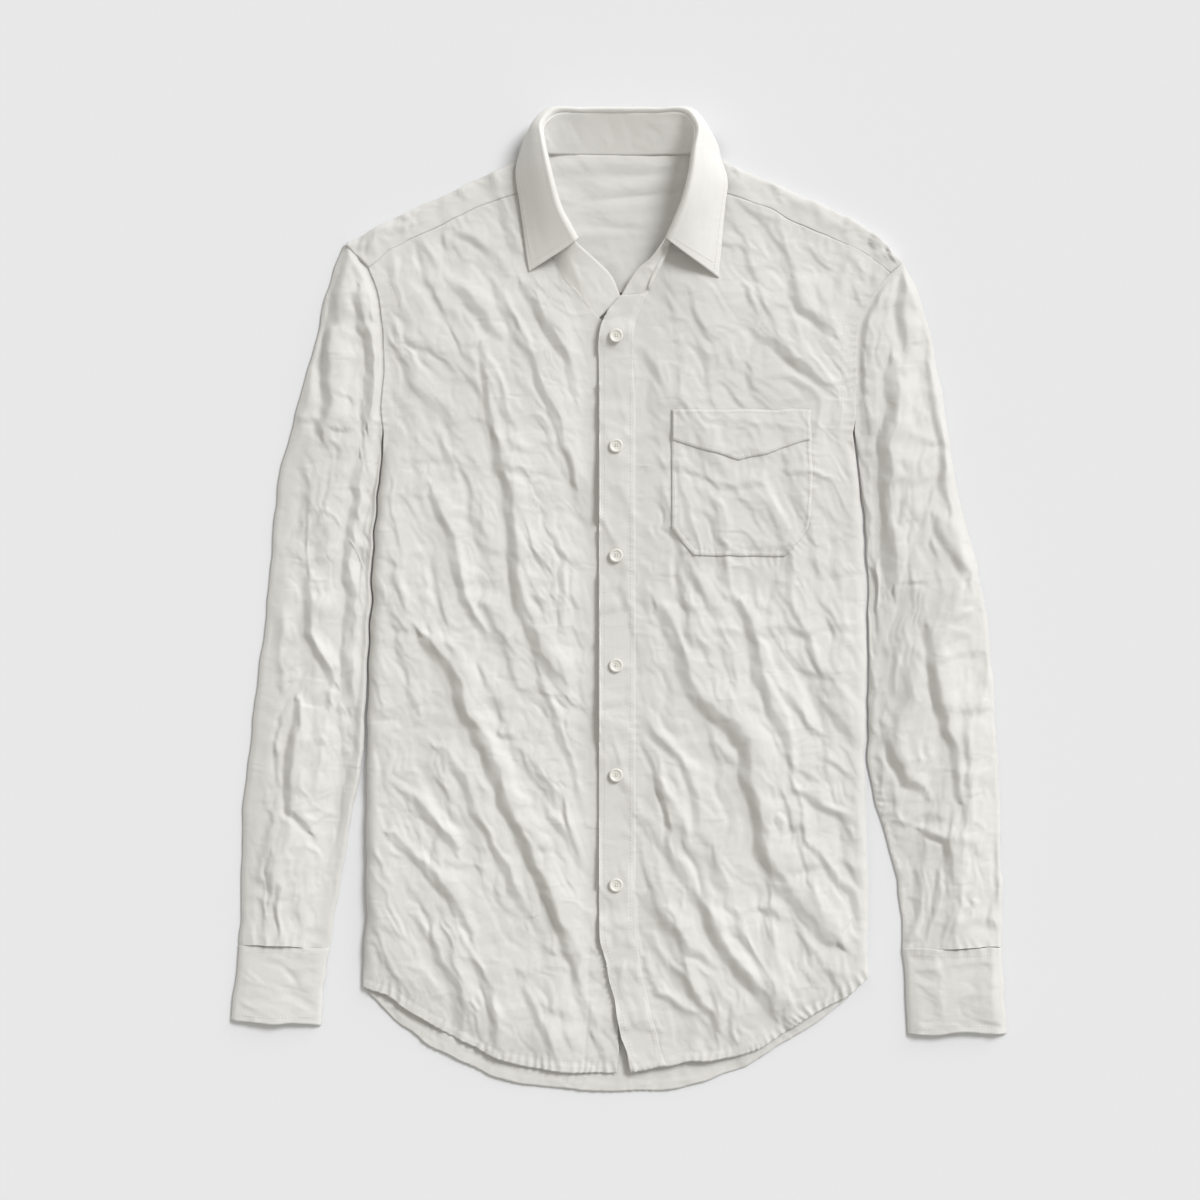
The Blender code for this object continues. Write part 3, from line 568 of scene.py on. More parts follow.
UNDER_PLACKET = inside([*edge((LEFT_FRONT_EDGE, 60)), *edge((PLACKET_SEAM, 60))[::-1]])


def tapered(x, y, outline, rise, groove=0.0):
    """A ply's height over what it is sewn on, less at its edges and in the groove its stitches make."""
    from_edge = gap(x, y, outline)
    return 0.35 + (rise - 0.35) * (0.4 + 0.6 * ramp(from_edge, 0, 1.5)) - groove * bell(from_edge - 4, 1.1)


def placket_z(x, y):
    """Outer height of the placket."""
    return left_z(x, y) + tapered(x, y, edge((PLACKET_SEAM, 30)), PLACKET_RISE)


def pocket_z(x, y):
    """Outer height of the chest pocket."""
    outline = [(row.low_x, row.y) for row in POCKET] + [(row.high_x, row.y) for row in POCKET[::-1]]
    return left_z(x, y) + tapered(x, y, outline, POCKET_RISE, 0.3)


def band_z(x, y):
    """Outer height of the pocket's pointed band."""
    return pocket_z(x, y) + tapered(x, y, POCKET_BAND, BAND_RISE)


# ---------------------------------------------------------------- meshes

def grid_normals(p, wrap):
    """Unit normals of a grid of points, which closes on itself along its rows if wrap."""
    along_row = np.roll(p, -1, 1) - np.roll(p, 1, 1) if wrap else np.gradient(p, axis=1)
    n = np.cross(np.gradient(p, axis=0), along_row)
    return n / np.maximum(np.linalg.norm(n, axis=-1, keepdims=True), 1e-12)


def placed(name, data):
    """A new object in the scene."""
    made = bpy.data.objects.new(name, data)
    bpy.context.scene.collection.objects.link(made)
    return made


def make_mesh(name, verts, quads, uv, material, triangles=()):
    """A smooth-shaded piece of the garment from points in millimetres."""
    corners = np.concatenate([quads.ravel(), np.asarray(triangles, int).ravel()]).astype(np.int32)
    mesh = bpy.data.meshes.new(name)
    mesh.vertices.add(len(verts))
    mesh.vertices.foreach_set("co", (verts * MM).astype(np.float32).ravel())
    mesh.loops.add(corners.size)
    mesh.loops.foreach_set("vertex_index", corners)
    mesh.polygons.add(len(quads) + len(triangles))
    starts = np.concatenate([np.arange(len(quads)) * 4, quads.size + np.arange(len(triangles)) * 3])
    mesh.polygons.foreach_set("loop_start", starts.astype(np.int32))
    mesh.update(calc_edges=True)
    if uv is not None:
        layer = mesh.uv_layers.new(name="UVMap")
        layer.data.foreach_set("uv", (uv[corners] * MM).astype(np.float32).ravel())
    mesh.validate()
    mesh.shade_smooth()
    mesh.materials.append(material)
    made = placed(name, mesh)
    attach(made, "root")
    return made


def shell(name, p, wall, material, outward=None, wrap=False, coarse=1):
    """A closed wall under the outer surface p[row][column], or only that surface if wall is 0. It faces
    away from outward, or up. Its hidden side keeps every coarse-th point."""
    p = swayed(p)
    rows, columns = p.shape[:2]
    n = grid_normals(p, wrap)
    out = np.array([0, 0, 1.0]) if outward is None else (p - np.array(outward, float))
    turned = np.sum(n * out) < 0
    if turned:
        n = -n
    index = np.arange(rows * columns).reshape(rows, columns)
    right = np.roll(index, -1, 1) if wrap else index[:, 1:]
    left = index if wrap else index[:, :-1]
    quads = np.stack([left[:-1], right[:-1], right[1:], left[1:]], axis=-1).reshape(-1, 4)
    if not turned:
        quads = quads[:, ::-1]
    u = np.array([lengths(row) for row in p])
    v = np.mean([lengths(column) for column in p.swapaxes(0, 1)], axis=0)[:, None]
    uv = np.stack([u, v + 0 * u], axis=-1).reshape(-1, 2)
    verts, triangles = p.reshape(-1, 3), []
    if wall:
        count = rows * columns
        under = p[::coarse, ::coarse] - wall * (out if outward is None else n[::coarse, ::coarse])
        if coarse > 1:
            under[1:-1, 1:-1, 2] -= 0.35
        inner = count + np.arange(under.shape[0] * under.shape[1]).reshape(under.shape[:2])
        verts = np.vstack([verts, under.reshape(-1, 3)])
        on_right = np.roll(inner, -1, 1) if wrap else inner[:, 1:]
        on_left = inner if wrap else inner[:, :-1]
        below = np.stack([on_left[:-1], on_left[1:], on_right[1:], on_right[:-1]], axis=-1).reshape(-1, 4)
        faces = [quads, below if turned else below[:, ::-1]]
        rims = [(index[0], inner[0], False), (index[-1], inner[-1], True)]
        if not wrap:
            rims += [(index[:, 0], inner[:, 0], True), (index[:, -1], inner[:, -1], False)]
        for outer, low, flip in rims:
            if wrap:
                outer, low = np.r_[outer, outer[0]], np.r_[low, low[0]]
            if coarse == 1:
                side = [np.stack([outer[:-1], outer[1:], low[1:], low[:-1]], axis=-1)]
            else:
                first, middle, last = outer[:-2:2], outer[1::2], outer[2::2]
                corners = (first, middle, low[:-1]), (middle, low[1:], low[:-1]), (middle, last, low[1:])
                side = [np.stack(three, axis=-1) for three in corners]
            side = [piece[:, ::-1] if flip != turned else piece for piece in side]
            (faces if coarse == 1 else triangles).extend(side)
        quads = np.vstack(faces)
        uv = np.vstack([uv, uv.reshape(rows, columns, 2)[::coarse, ::coarse].reshape(-1, 2)])
        triangles = np.vstack(triangles) if triangles else ()
    return make_mesh(name, verts, quads, uv, material, triangles=triangles)


def lifted(plan, height):
    """Plan points with their heights."""
    return np.concatenate([plan, height[..., None]], axis=-1)


def swayed(p):
    """The whole garment moved a little in plan, as creases draw its outline and seams in and out."""
    x, y = p[..., 0], p[..., 1]
    collar = ramp(y, 250, 300) * (1 - ramp(np.abs(x), 90, 130))
    free = ramp(np.maximum(np.abs(x) - 30, 0) + np.maximum(-250 - y, 0), 0, 60) * (1 - collar)
    out = p.copy()
    out[..., 0] += free * sample(SWAY_X, x, y)
    out[..., 1] += free * sample(SWAY_Y, x, y)
    return out


def plan_area(plan):
    """Ground that a panel covers, in square metres."""
    a = plan[1:, 1:] - plan[:-1, :-1]
    b = plan[1:, :-1] - plan[:-1, 1:]
    return float(np.abs(a[..., 0] * b[..., 1] - a[..., 1] * b[..., 0]).sum() / 2) * 1e-6


# ---------------------------------------------------------------- materials

def new_material(name):
    """A material, its node tree and its shader."""
    made = bpy.data.materials.new(name)
    made.use_nodes = True
    return made, made.node_tree, made.node_tree.nodes["Principled BSDF"]


def feed(tree, node, inputs):
    """Gives a node's inputs their values, or the outputs of other nodes."""
    for name, value in inputs.items():
        if isinstance(value, bpy.types.NodeSocket):
            tree.links.new(value, node.inputs[name])
        else:
            node.inputs[name].default_value = value
    return node


def add(tree, kind, inputs, **settings):
    """A new shader node with its inputs and settings."""
    node = tree.nodes.new("ShaderNode" + kind)
    for name, value in settings.items():
        setattr(node, name, value)
    return feed(tree, node, inputs)


def cotton(name, crumpled, colour=(0.75, 0.744, 0.734), shade=(0.69, 0.682, 0.664)):
    """Washed off-white shirting: plain weave, slubs, faint cloudiness and the finest creases."""
    made, tree, shader = new_material(name)
    where = tree.nodes.new("ShaderNodeTexCoord").outputs
    cloud = add(tree, "TexNoise", {"Scale": 9, "Detail": 5, "Vector": where["Object"]})
    stretch = add(tree, "Mapping", {"Scale": (900, 45, 1), "Vector": where["UV"]})
    slubs = add(tree, "TexNoise", {"Scale": 1, "Detail": 3, "Vector": stretch.outputs["Vector"]})
    mix = add(tree, "Math", {0: slubs.outputs["Fac"], 1: 0.35, 2: cloud.outputs["Fac"]},
              operation="MULTIPLY_ADD")
    tone = add(tree, "ValToRGB", {"Fac": mix.outputs["Value"]})
    dark, light = tone.color_ramp.elements
    dark.position, light.position = 0.35, 0.85
    dark.color, light.color = (*shade, 1), (*colour, 1)
    warp, weft = (add(tree, "TexWave", {"Scale": 640, "Distortion": 1.2, "Detail": 1, "Vector": where["UV"]},
                      wave_type="BANDS", bands_direction=direction) for direction in "XY")
    weave = add(tree, "Math", {0: warp.outputs["Fac"], 1: weft.outputs["Fac"]}, operation="ADD")
    fine = add(tree, "TexNoise", {"Scale": 420, "Detail": 4, "Vector": where["Object"]})
    grain = add(tree, "Math", {0: fine.outputs["Fac"], 1: 1.6, 2: weave.outputs["Value"]},
                operation="MULTIPLY_ADD")
    wrung = add(tree, "Mapping", {"Rotation": (0, 0, math.radians(60)), "Scale": (42, 90, 60),
                                  "Vector": where["Object"]})
    fold = add(tree, "TexNoise", {"Scale": 1, "Detail": 3.5, "Roughness": 0.55, "Lacunarity": 2.1,
                                  "Distortion": 0.5, "Vector": wrung.outputs["Vector"]},
               noise_type="RIDGED_MULTIFRACTAL")
    folded = add(tree, "Bump", {"Strength": crumpled, "Distance": 0.0018, "Height": fold.outputs["Fac"]})
    bump = add(tree, "Bump", {"Strength": 0.35, "Distance": 0.0003, "Height": grain.outputs["Value"],
                              "Normal": folded.outputs["Normal"]})
    feed(tree, shader, {"Roughness": 0.88, "Specular IOR Level": 0.25, "Sheen Weight": 0.12,
                        "Sheen Roughness": 0.5, "Base Color": tone.outputs["Color"],
                        "Normal": bump.outputs["Normal"]})
    return made


def plain(name, colour, roughness, grain, strength=0.2, sheen=0.0):
    """Thread or pearl, with a little cloudiness and grain."""
    made, tree, shader = new_material(name)
    where = tree.nodes.new("ShaderNodeTexCoord").outputs
    cloud = add(tree, "TexNoise", {"Scale": grain, "Detail": 4, "Vector": where["Object"]})
    tone = add(tree, "ValToRGB", {"Fac": cloud.outputs["Fac"]})
    dark, light = tone.color_ramp.elements
    dark.color, light.color = (*(0.9 * c for c in colour), 1), (*colour, 1)
    bump = add(tree, "Bump", {"Strength": strength, "Distance": 0.0001, "Height": cloud.outputs["Fac"]})
    feed(tree, shader, {"Roughness": roughness, "Sheen Weight": sheen, "Base Color": tone.outputs["Color"],
                        "Normal": bump.outputs["Normal"]})
    return made


SHIRTING = cotton("shirting", 0.45)
FUSED_SHIRTING = cotton("shirting_fused", 0.25)
# A lighter copy of the shirting for the collar and the neck roll: painted light, brighter than the body's
# cloth to stand in for the light these parts catch.
COLLAR_SHIRTING_PAINTED_LIGHT = cotton("shirting_collar_painted_light", 0.2, (0.845, 0.838, 0.826), (0.785, 0.776, 0.756))
THREAD = plain("thread", (0.78, 0.77, 0.73), 0.7, 900, 0.4, 0.2)
PEARL = plain("pearl_button", (0.80, 0.79, 0.75), 0.32, 160, 0.1)


# ---------------------------------------------------------------- panels

def make_fronts():
    """Both fronts, each with the area of its cut."""
    made = {}
    for side, sign, neck, hem, front, armhole, body in (
            ("left", 1, LEFT_NECK, LEFT_HEM, LEFT_FRONT_EDGE, LEFT_ARMHOLE[1:], LEFT_SIDE),
            ("right", -1, RIGHT_NECK, RIGHT_HEM, RIGHT_FRONT_EDGE, RIGHT_ARMHOLE[2:], RIGHT_SIDE)):
        plan = inset(patch(edge((neck, 70), (yoke_seam(sign), 106)), edge((hem, 176)), edge((front, 440)),
                           edge((armhole, 108), (body, 332))))
        p = lifted(plan, front_z(side, plan[..., 0], plan[..., 1]))
        piece = shell(f"cloth_front_{side}", p, CLOTH, SHIRTING, coarse=2)
        made[side] = (piece, plan_area(plan) * TAKE_UP)
    return made


def make_back():
    """The back below its yoke seam, and the area of its cut."""
    top = [(-204, YOKE_BACK_Y), (0, YOKE_BACK_Y), (214, YOKE_BACK_Y)]
    sides = [edge(([corner, *(p for p in front.armhole if p.y < YOKE_BACK_Y - 8)], 12), (front.side, 48))
             for corner, front in ((top[0], FRONTS["right"]), (top[-1], FRONTS["left"]))]
    plan = patch(edge((top, 160)), edge((BACK_HEM, 160)), *sides)
    steps = np.linspace(0, 1, 14)[1:, None, None]  # finer along the hem
    plan = inset(np.vstack([plan[:-2], plan[-3] + steps * (plan[-1] - plan[-3])]))
    x, y = plan[..., 0], plan[..., 1]
    from_hem = gap(x, y, edge((BACK_HEM, 40)))
    low = 1 - ramp(y, -345, -300)
    z = BACK_TOP + low * (0.8 + 0.35 * sample(CRUMPLE, x + 40, y + 30) + sample(PUCKER, x, y) * 0.8)
    z += 0.45 * low * (1 - ramp(from_hem, HEM_WIDTH - 0.6, HEM_WIDTH + 0.2))
    z = np.minimum(np.maximum(z, 1.05), 2.8)
    return shell("cloth_back", lifted(plan, z), BACK_WALL, SHIRTING), plan_area(plan) * BACK_TAKE_UP


def make_yoke():
    """The yoke, from its back seam over the folded shoulders to the seams of the fronts."""
    radius = SHOULDER_FOLD / 2
    turn = np.linspace(0, np.pi, 17)
    threads = []
    for row in YOKE:
        back = np.array([row.back_x, YOKE_BACK_Y, 0.2])
        crest = np.array([row.crest_x, row.crest_y - radius, 0.2])
        arc = crest + np.stack([0 * turn, radius * np.sin(turn), radius - radius * np.cos(turn)], axis=1)
        beyond = evenly(np.vstack([arc, (row.front_x, row.front_y, SEAM_TOP)]), 29, row.past)
        threads.append(evenly(np.vstack([back, back + (crest - back) * 0.5, beyond]), 72))
    across, at = np.linspace(0, 1, 261), np.linspace(0, 1, len(YOKE))
    p = np.array([np.stack([np.interp(across, at, row[:, i]) for i in range(3)], axis=1)
                  for row in np.swapaxes(threads, 0, 1)])
    x, y, z = np.moveaxis(p, -1, 0)
    top = ramp(z, 3.2, 6.0)
    bare = (1 - top) * (1 - ramp(np.abs(x), 62, 76))
    soft = 0.9 * (sample(FAINT, x, y) - 0.6) + 0.25 * sample(CRUMPLE, x + 130, y - 200)
    z = z + top * (seam_z(x, y) - SEAM_TOP)
    free = 1 - ramp(np.linspace(0, 1, len(p)), 0.82, 1)[:, None]
    z = z + top * free * np.clip(1.1 * sample(CRUMPLE, 1.3 * x + 20, 1.3 * y - 90), -1.2, 2.4)
    z = z + bare * (0.9 + np.clip(soft, -0.7, 3.0))
    z = z + bare * 1.4 * ramp(y, 335, 376)
    p = np.stack([x, y, z], axis=-1)
    return shell("cloth_yoke", p, CLOTH, SHIRTING, outward=(0, 320, 3))


def tube(plan, top, count=84, flat=18):
    """Outer surface of a flattened tube: [row][round it], from the inner edge under it and back over it.
    plan is [row][across], from the inner edge to the outer one; top gives its upper height."""
    across = np.linspace(0, 1, plan.shape[1])
    below = np.interp(np.linspace(0, 1, flat + 1), [0, 0.16, 0.84, 1], [0, 0.04, 0.96, 1])
    over = np.interp(np.linspace(1, 0, count + 1)[1:-1], [0, 0.1, 0.9, 1], [0, 0.045, 0.955, 1])
    t = np.r_[below, over]
    is_top = np.arange(len(t)) > flat
    x, y = (np.array([np.interp(t, across, line[:, i]) for line in plan]) for i in range(2))
    t = t + 0 * x
    near = np.minimum(t, 1 - t) * np.linalg.norm(plan[:, -1] - plan[:, 0], axis=1)[:, None]
    high = top(x, y, t, near)
    half = high / 2
    bend = np.sin(np.pi / 2 * np.clip(near / TUBE_EDGE, 0, 1)) ** 0.8
    z = half + (np.where(is_top, high, TUBE_UNDER) - half) * bend
    return np.stack([x, y, z], axis=-1)


def sleeve_top(side, x, y, t, near):
    """Upper height of a sleeve, t across it from its inner edge and near millimetres from an edge."""
    crown = np.sin(np.pi * np.clip(t, 0, 1) ** 1.5) ** 0.85
    if side == "right":
        crown = crown * (1 - (1 - ramp(t, 0.1, 0.34)) * (1 - ramp(y, 110, 160)))
    base = SLEEVE_EDGE + (SLEEVE_CROWN - SLEEVE_EDGE) * crown
    bumps = relief(x, y, 1.6, 1.0) * (0.15 + 0.85 * ramp(near, 1, 8))
    if side == "right":
        bumps = bumps * (0.2 + 0.8 * np.maximum(ramp(near, 8, 22), ramp(y, 110, 160)))
    bumps = held(bumps, HOLLOW, CREST + 1)
    z = base + bumps * (0.45 + 0.55 * ramp(y, -294, -270)) + sample(PUCKER, x, y) * ramp(near, 1, 4)
    if side == "right":
        inner_edge = (1 - ramp(near, 3, 19)) * (1 - ramp(t, 0.3, 0.6))
        z += 3.4 * inner_edge * (1 - ramp(y, 90, 140)) * ramp(y, -240, -150)
    from_armhole = gap(x, y, FRONTS[side].armhole)
    z = SEAM_TOP - 0.8 + (z - SEAM_TOP + 0.8) * ramp(from_armhole, 1.3, 7)
    return np.maximum(z, 2.2)


def make_sleeves():
    """Both sleeves, each with the area of its cut."""
    made = {}
    for side, armhole, outer, inner in (("left", LEFT_ARMHOLE, LEFT_SLEEVE_OUTER, LEFT_SLEEVE_INNER),
                                        ("right", RIGHT_ARMHOLE, RIGHT_SLEEVE_OUTER, RIGHT_SLEEVE_INNER)):
        away = -1.2 if side == "left" else 1.2  # the cap reaches a little under the front
        cap = [inner[0], *((p.x + away, p.y) for p in armhole[-2:0:-1]), outer[0]]
        plan = inset(patch(edge((cap, 72)), edge(([inner[-1], outer[-1]], 72)), edge((inner, 400)),
                           edge((outer, 400))), 0.2)
        p = tube(plan, lambda *at: sleeve_top(side, *at))
        piece = shell(f"cloth_sleeve_{side}", p, 0, SHIRTING, outward=p.reshape(-1, 3).mean(0), wrap=True)
        made[side] = (piece, 2 * plan_area(plan) * TAKE_UP)
    return made


def cuff_top(x, y, t, near):
    """Upper height of a cuff, t across it and near millimetres from an edge."""
    crown = np.sin(np.pi * np.clip(t, 0, 1)) ** 0.5
    rows = 0.5 * np.abs(sample(FAINT, x * 0.8 + 40, y * 1.6))
    creased = 2.6 * rows + 0.5 * sample(CRUMPLE, 0.7 * x + 30, 1.8 * y + 300)
    creased = creased * ramp(near, 2, 12)
    return CUFF_EDGE + (CUFF_CROWN - CUFF_EDGE) * crown + creased + 0.7 * sample(PUCKER, x, y)


def make_cuffs():
    """Both cuffs, each with its plan."""
    made = {}
    for cuff in CUFFS:
        top = [(cuff.top_in_x, cuff.top_in_y), (cuff.top_out_x, cuff.top_out_y)]
        end = [(cuff.end_in_x, cuff.end_in_y), (cuff.end_out_x, cuff.end_out_y)]
        plan = patch(edge((top, 40)), edge((end, 40)), *(edge((side, 48)) for side in zip(top, end)))
        plan[..., 1] += 0.9 * np.sin(plan[..., 0] / 9) * ramp(np.linspace(0, 1, 49), 0.7, 1)[:, None]
        p = tube(plan, cuff_top, count=60, flat=24)
        piece = shell(f"cloth_cuff_{cuff.side}", p, FUSED, FUSED_SHIRTING, outward=p.reshape(-1, 3).mean(0),
                      wrap=True)
        made[cuff.side] = (piece, plan)
    return made


def make_placket():
    """The strip along the left front's free edge."""
    plan = patch(edge(([(1, 256), (24, 258)], 62)), edge(([(10, -398), (40, -391)], 62)),
                 edge((LEFT_FRONT_EDGE, 400)), edge((PLACKET_SEAM, 400)))
    plan = inset(plan[:, [0, 1, 3, *range(6, 57, 3), 58, 60, 61, 62]], 0.05)  # finer at its edges
    z = placket_z(plan[..., 0], plan[..., 1])
    return shell("cloth_placket", lifted(plan, z), PLY, FUSED_SHIRTING)


def make_pocket():
    """The chest pocket and its band."""
    y = np.linspace(160, 37, 84)
    low = np.interp(-y, [-r.y for r in POCKET], [r.low_x for r in POCKET])
    high = np.interp(-y, [-r.y for r in POCKET], [r.high_x for r in POCKET])
    t = np.linspace(0, 1, 82)[None, :]
    plan = np.stack([low[:, None] * (1 - t) + high[:, None] * t, y[:, None] + 0 * t], axis=-1)
    pocket = shell("cloth_pocket", lifted(plan, pocket_z(plan[..., 0], plan[..., 1])), PLY, SHIRTING)
    x = np.linspace(POCKET_BAND[0].x, POCKET_BAND[-1].x, 84)[None, :]
    low_y = np.interp(x, [r.x for r in POCKET_BAND], [r.low_y for r in POCKET_BAND])
    t = np.linspace(0, 1, 26)[:, None]
    plan = np.stack([x + 0 * t, 159.5 * (1 - t) + low_y * t], axis=-1)
    band = shell("cloth_pocket_band", lifted(plan, band_z(plan[..., 0], plan[..., 1])), PLY, SHIRTING)
    return pocket, band


def make_neck_roll():
    """The turned seam allowance that shows where the left front meets the collar stand."""
    line = smooth_curve([(24.5, 261.5), (28, 270), (33.5, 281), (38, 290), (42.5, 300)], 60)
    line = on(left_z, line, 0.7)
    up = np.array([0, 0, 1.0])
    side = np.cross(unit(np.gradient(line, axis=0)), up)
    size = (0.02 + 0.98 * np.sin(np.pi * np.linspace(0, 1, 61)) ** 0.5)[:, None, None]
    turn = np.linspace(0, 2 * np.pi, 20, endpoint=False)[None, :, None]
    p = line[:, None] + size * (2.1 * np.cos(turn) * side[:, None] + 1.7 * np.sin(turn) * up)
    # Made in the lighter collar shirting: a painted highlight on the roll.
    return shell("cloth_neck_roll", p, 0, COLLAR_SHIRTING_PAINTED_LIGHT, outward=(34, 281, 9), wrap=True)


def from_middle(p):
    """Level directions away from the middle of the collar."""
    away = p - np.array([0, COLLAR_MIDDLE_Y, 0])
    away[..., 2] = 0
    return unit(away)


def make_stand():
    """The collar's stand, and the line of its stitches inside the back of the neck."""
    s = through("seam_x seam_y seam_z top_x top_y top_z", STAND, 300)
    x, y, foot = s[:, :3].T
    t = np.linspace(0, 1, 19)[None, :]
    p = s[:, None, :3] * (1 - t[..., None]) + s[:, None, 3:] * t[..., None]
    away = from_middle(p)
    run = lengths(s[:, :2])[:, None]
    bulge = 0.8 * np.sin(np.pi * t) + 0.5 * sample(FAINT, run - 200 + 0 * t, 10 * t + 0 * run)
    p = p + bulge[..., None] * away
    for side, rows in (("right", x < 0), ("left", x > 0)):
        tucked = rows * (1 - ramp(y, 300, 330)) * (1 if side == "right" else ramp(y, 257, 262))
        p[:, :, 2] += (1 - t) ** 2 * (tucked * (front_z(side, x, y) - 0.4 - foot))[:, None]
    inside_neck = 1 - ramp(p[..., 1], 262, 292)
    p[..., 2] += (0.8 * sample(CRUMPLE, p[..., 0] - 40, p[..., 1] - 60) * inside_neck
                  * np.sin(np.pi * np.clip(t, 0.04, 0.96)) ** 0.5)
    bulge = 0.55 * sample(CRUMPLE, 1.2 * run - 220 + 0 * t, 45 * t + 60 + 0 * run) * np.sin(np.pi * t)
    p = p + bulge[..., None] * away
    # Made in the lighter collar shirting, which is painted light.
    stand = shell("cloth_collar_stand", p, FUSED, COLLAR_SHIRTING_PAINTED_LIGHT, outward=(0, COLLAR_MIDDLE_Y, 18))
    return stand, p[(y > 373) & (np.abs(x) < 52), 1]


def make_leaf():
    """The turned-down collar: over its fold from inside the stand, and its points."""
    s = through("fold_x fold_y fold_z edge_x edge_y edge_z bulge", LEAF, 320)
    fold, fall, bulge = s[:, :3], s[:, 3:6] - s[:, :3], s[:, 6:7]
    out, up = from_middle(fold), np.array([0, 0, 1.0])
    profile = np.stack([fold - 4.5 * out - 4.4 * up, fold - 3.5 * out - 2.2 * up, fold - 1.8 * out - 0.5 * up,
                        fold, fold + 0.06 * fall + 1.0 * out * (bulge / 2.6), fold + 0.2 * fall + bulge * out,
                        fold + 0.6 * fall + 0.8 * bulge * out, fold + fall], axis=1)
    p = np.array([smooth_curve(row, 48) for row in profile])
    run = lengths(p[:, -1])[:, None]
    t = np.linspace(0, 1, 49)[None, :]
    tick = 1 - 1.6 * np.abs(np.sin(run / 2.1 + np.sin(run / 13)))
    uneven = 0.3 * sample(FAINT, run - 170 + 0 * t, 60 * t - 20 * (run < 200))
    p[..., 2] += 0.25 * tick * ramp(t, 0.84, 1) + uneven
    p[..., 2] -= 0.13 * bell(np.minimum(run, run[-1] - run) - 5, 1.2) + 0.13 * bell((1 - t) * 27 - 4.5, 1)
    # Made in the lighter collar shirting, which is painted light.
    return shell("cloth_collar_leaf", p, FUSED, COLLAR_SHIRTING_PAINTED_LIGHT, outward=(0, COLLAR_MIDDLE_Y, 12)), p


# ---------------------------------------------------------------- stitching and buttons

def stitches(name, lines, pitch, length, radius):
    """Stitches along surface lines, as one mesh of small rounded bars."""
    ring = np.linspace(0, 2 * np.pi, 6, endpoint=False)
    quads = [(i + j, i + (j + 1) % 6, i + 6 + (j + 1) % 6, i + 6 + j) for i in (0, 6, 12) for j in range(6)]
    quads += [(3, 2, 1, 0), (5, 4, 3, 0), (18, 19, 20, 21), (18, 21, 22, 23)]  # the two ends
    quads = np.array(quads)[:, ::-1]
    rings = (0.0, 0.35, -0.6), (0.18, 1.0, 0.25), (0.82, 1.0, 0.25), (1.0, 0.35, -0.6)
    verts = []
    for line in lines:
        line = swayed(np.asarray(line, float))
        run = lengths(line)
        for k in range(int(run[-1] // pitch)):
            start = (k + 0.5) * pitch - length / 2
            reach = start, start + length
            first, last = np.transpose([np.interp(reach, run, line[:, i]) for i in range(3)])
            size = np.linalg.norm(last - first)
            if size < 0.3 * length:
                continue
            side = np.cross((last - first) / size, (0, 0, 1.0))
            side /= max(np.linalg.norm(side), 1e-9)
            up = np.cross(side, (last - first) / size)
            spokes = np.cos(ring)[:, None] * side + np.sin(ring)[:, None] * up
            for at, wide, rise in rings:
                verts.append(first + at * (last - first) + up * (radius * rise) + wide * radius * spokes)
    faces = quads + 24 * np.arange(len(verts) // 4)[:, None, None]
    return make_mesh(name, np.vstack(verts), faces.reshape(-1, 4), None, THREAD)


def offset_line(line, amount):
    """A plan line moved sideways: to the left of its direction for positive amounts."""
    line = in_plan(line)
    d = unit(np.gradient(line, axis=0))
    return line + amount * np.stack([-d[:, 1], d[:, 0]], axis=1)


def straight(corners, count):
    """Points at even steps along the straight stretches between corners."""
    corners = np.array(corners, float)
    return np.array([p * (1 - f) + q * f for p, q in zip(corners[:-1], corners[1:])
                     for f in np.linspace(0, 1, count, endpoint=False)])


def on(height, line, lift=0.05):
    """A plan line laid on a surface."""
    x, y = line[:, 0], line[:, 1]
    return np.stack([x, y, height(x, y) + lift], axis=1)


def make_buttons():
    """Four-hole shirt buttons with a raised rim, and the lines of their thread."""
    holes = [(1.25 * math.cos(a), 1.25 * math.sin(a)) for a in np.radians([45, 135, 225, 315])]
    # Its profile from the middle out, over the rim and under
    radius = np.r_[np.linspace(0.02, 2.9, 15), [3.3, 3.7, 4.1, 4.6, 5.1, 5.5, 5.75, 5.8, 5.75, 5.5, 4.8]]
    height = np.r_[np.full(15, 1.55), [1.62, 1.85, 2.2, 2.4, 2.38, 2.2, 1.85, 1.4, 0.8, 0.35, 0.15]]
    angle = np.linspace(0, 2 * np.pi, 48, endpoint=False)
    rx, ry = radius[:, None] * np.cos(angle), radius[:, None] * np.sin(angle)
    rz = height[:, None] + 0 * rx
    for hx, hy in holes:
        rz = rz - 1.1 * np.exp(-((np.hypot(rx - hx, ry - hy) / 0.5) ** 4))
    index = np.arange(rz.size).reshape(rz.shape)
    turned = np.roll(index, -1, 1)
    quads = np.stack([index[:-1], index[1:], turned[1:], turned[:-1]], axis=-1).reshape(-1, 4)
    caps = [(rz.size, i, j) for i, j in zip(index[0], turned[0])]
    caps += [(rz.size + 1, j, i) for i, j in zip(index[-1], turned[-1])]
    made = []
    for number in range(BUTTONS):
        cy = BUTTON_TOP_Y - number * BUTTON_PITCH
        base = float(placket_z(BUTTON_X + rx, cy + ry).max()) - 0.15
        p = np.stack([BUTTON_X + rx, cy + ry, base + rz], axis=-1)
        verts = np.vstack([p.reshape(-1, 3), [[BUTTON_X, cy, base + 1.55], [BUTTON_X, cy, base + 0.1]]])
        button = make_mesh(f"shirt_button_{number + 1}", verts, quads, None, PEARL, caps)
        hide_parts(f"button_{number + 1}")
        made += [[(BUTTON_X + ax, cy + ay, base + 1.5), (BUTTON_X, cy, base + 1.75),
                  (BUTTON_X + bx, cy + by, base + 1.5)] for (ax, ay), (bx, by) in zip(holes[:2], holes[2:])]
    return made


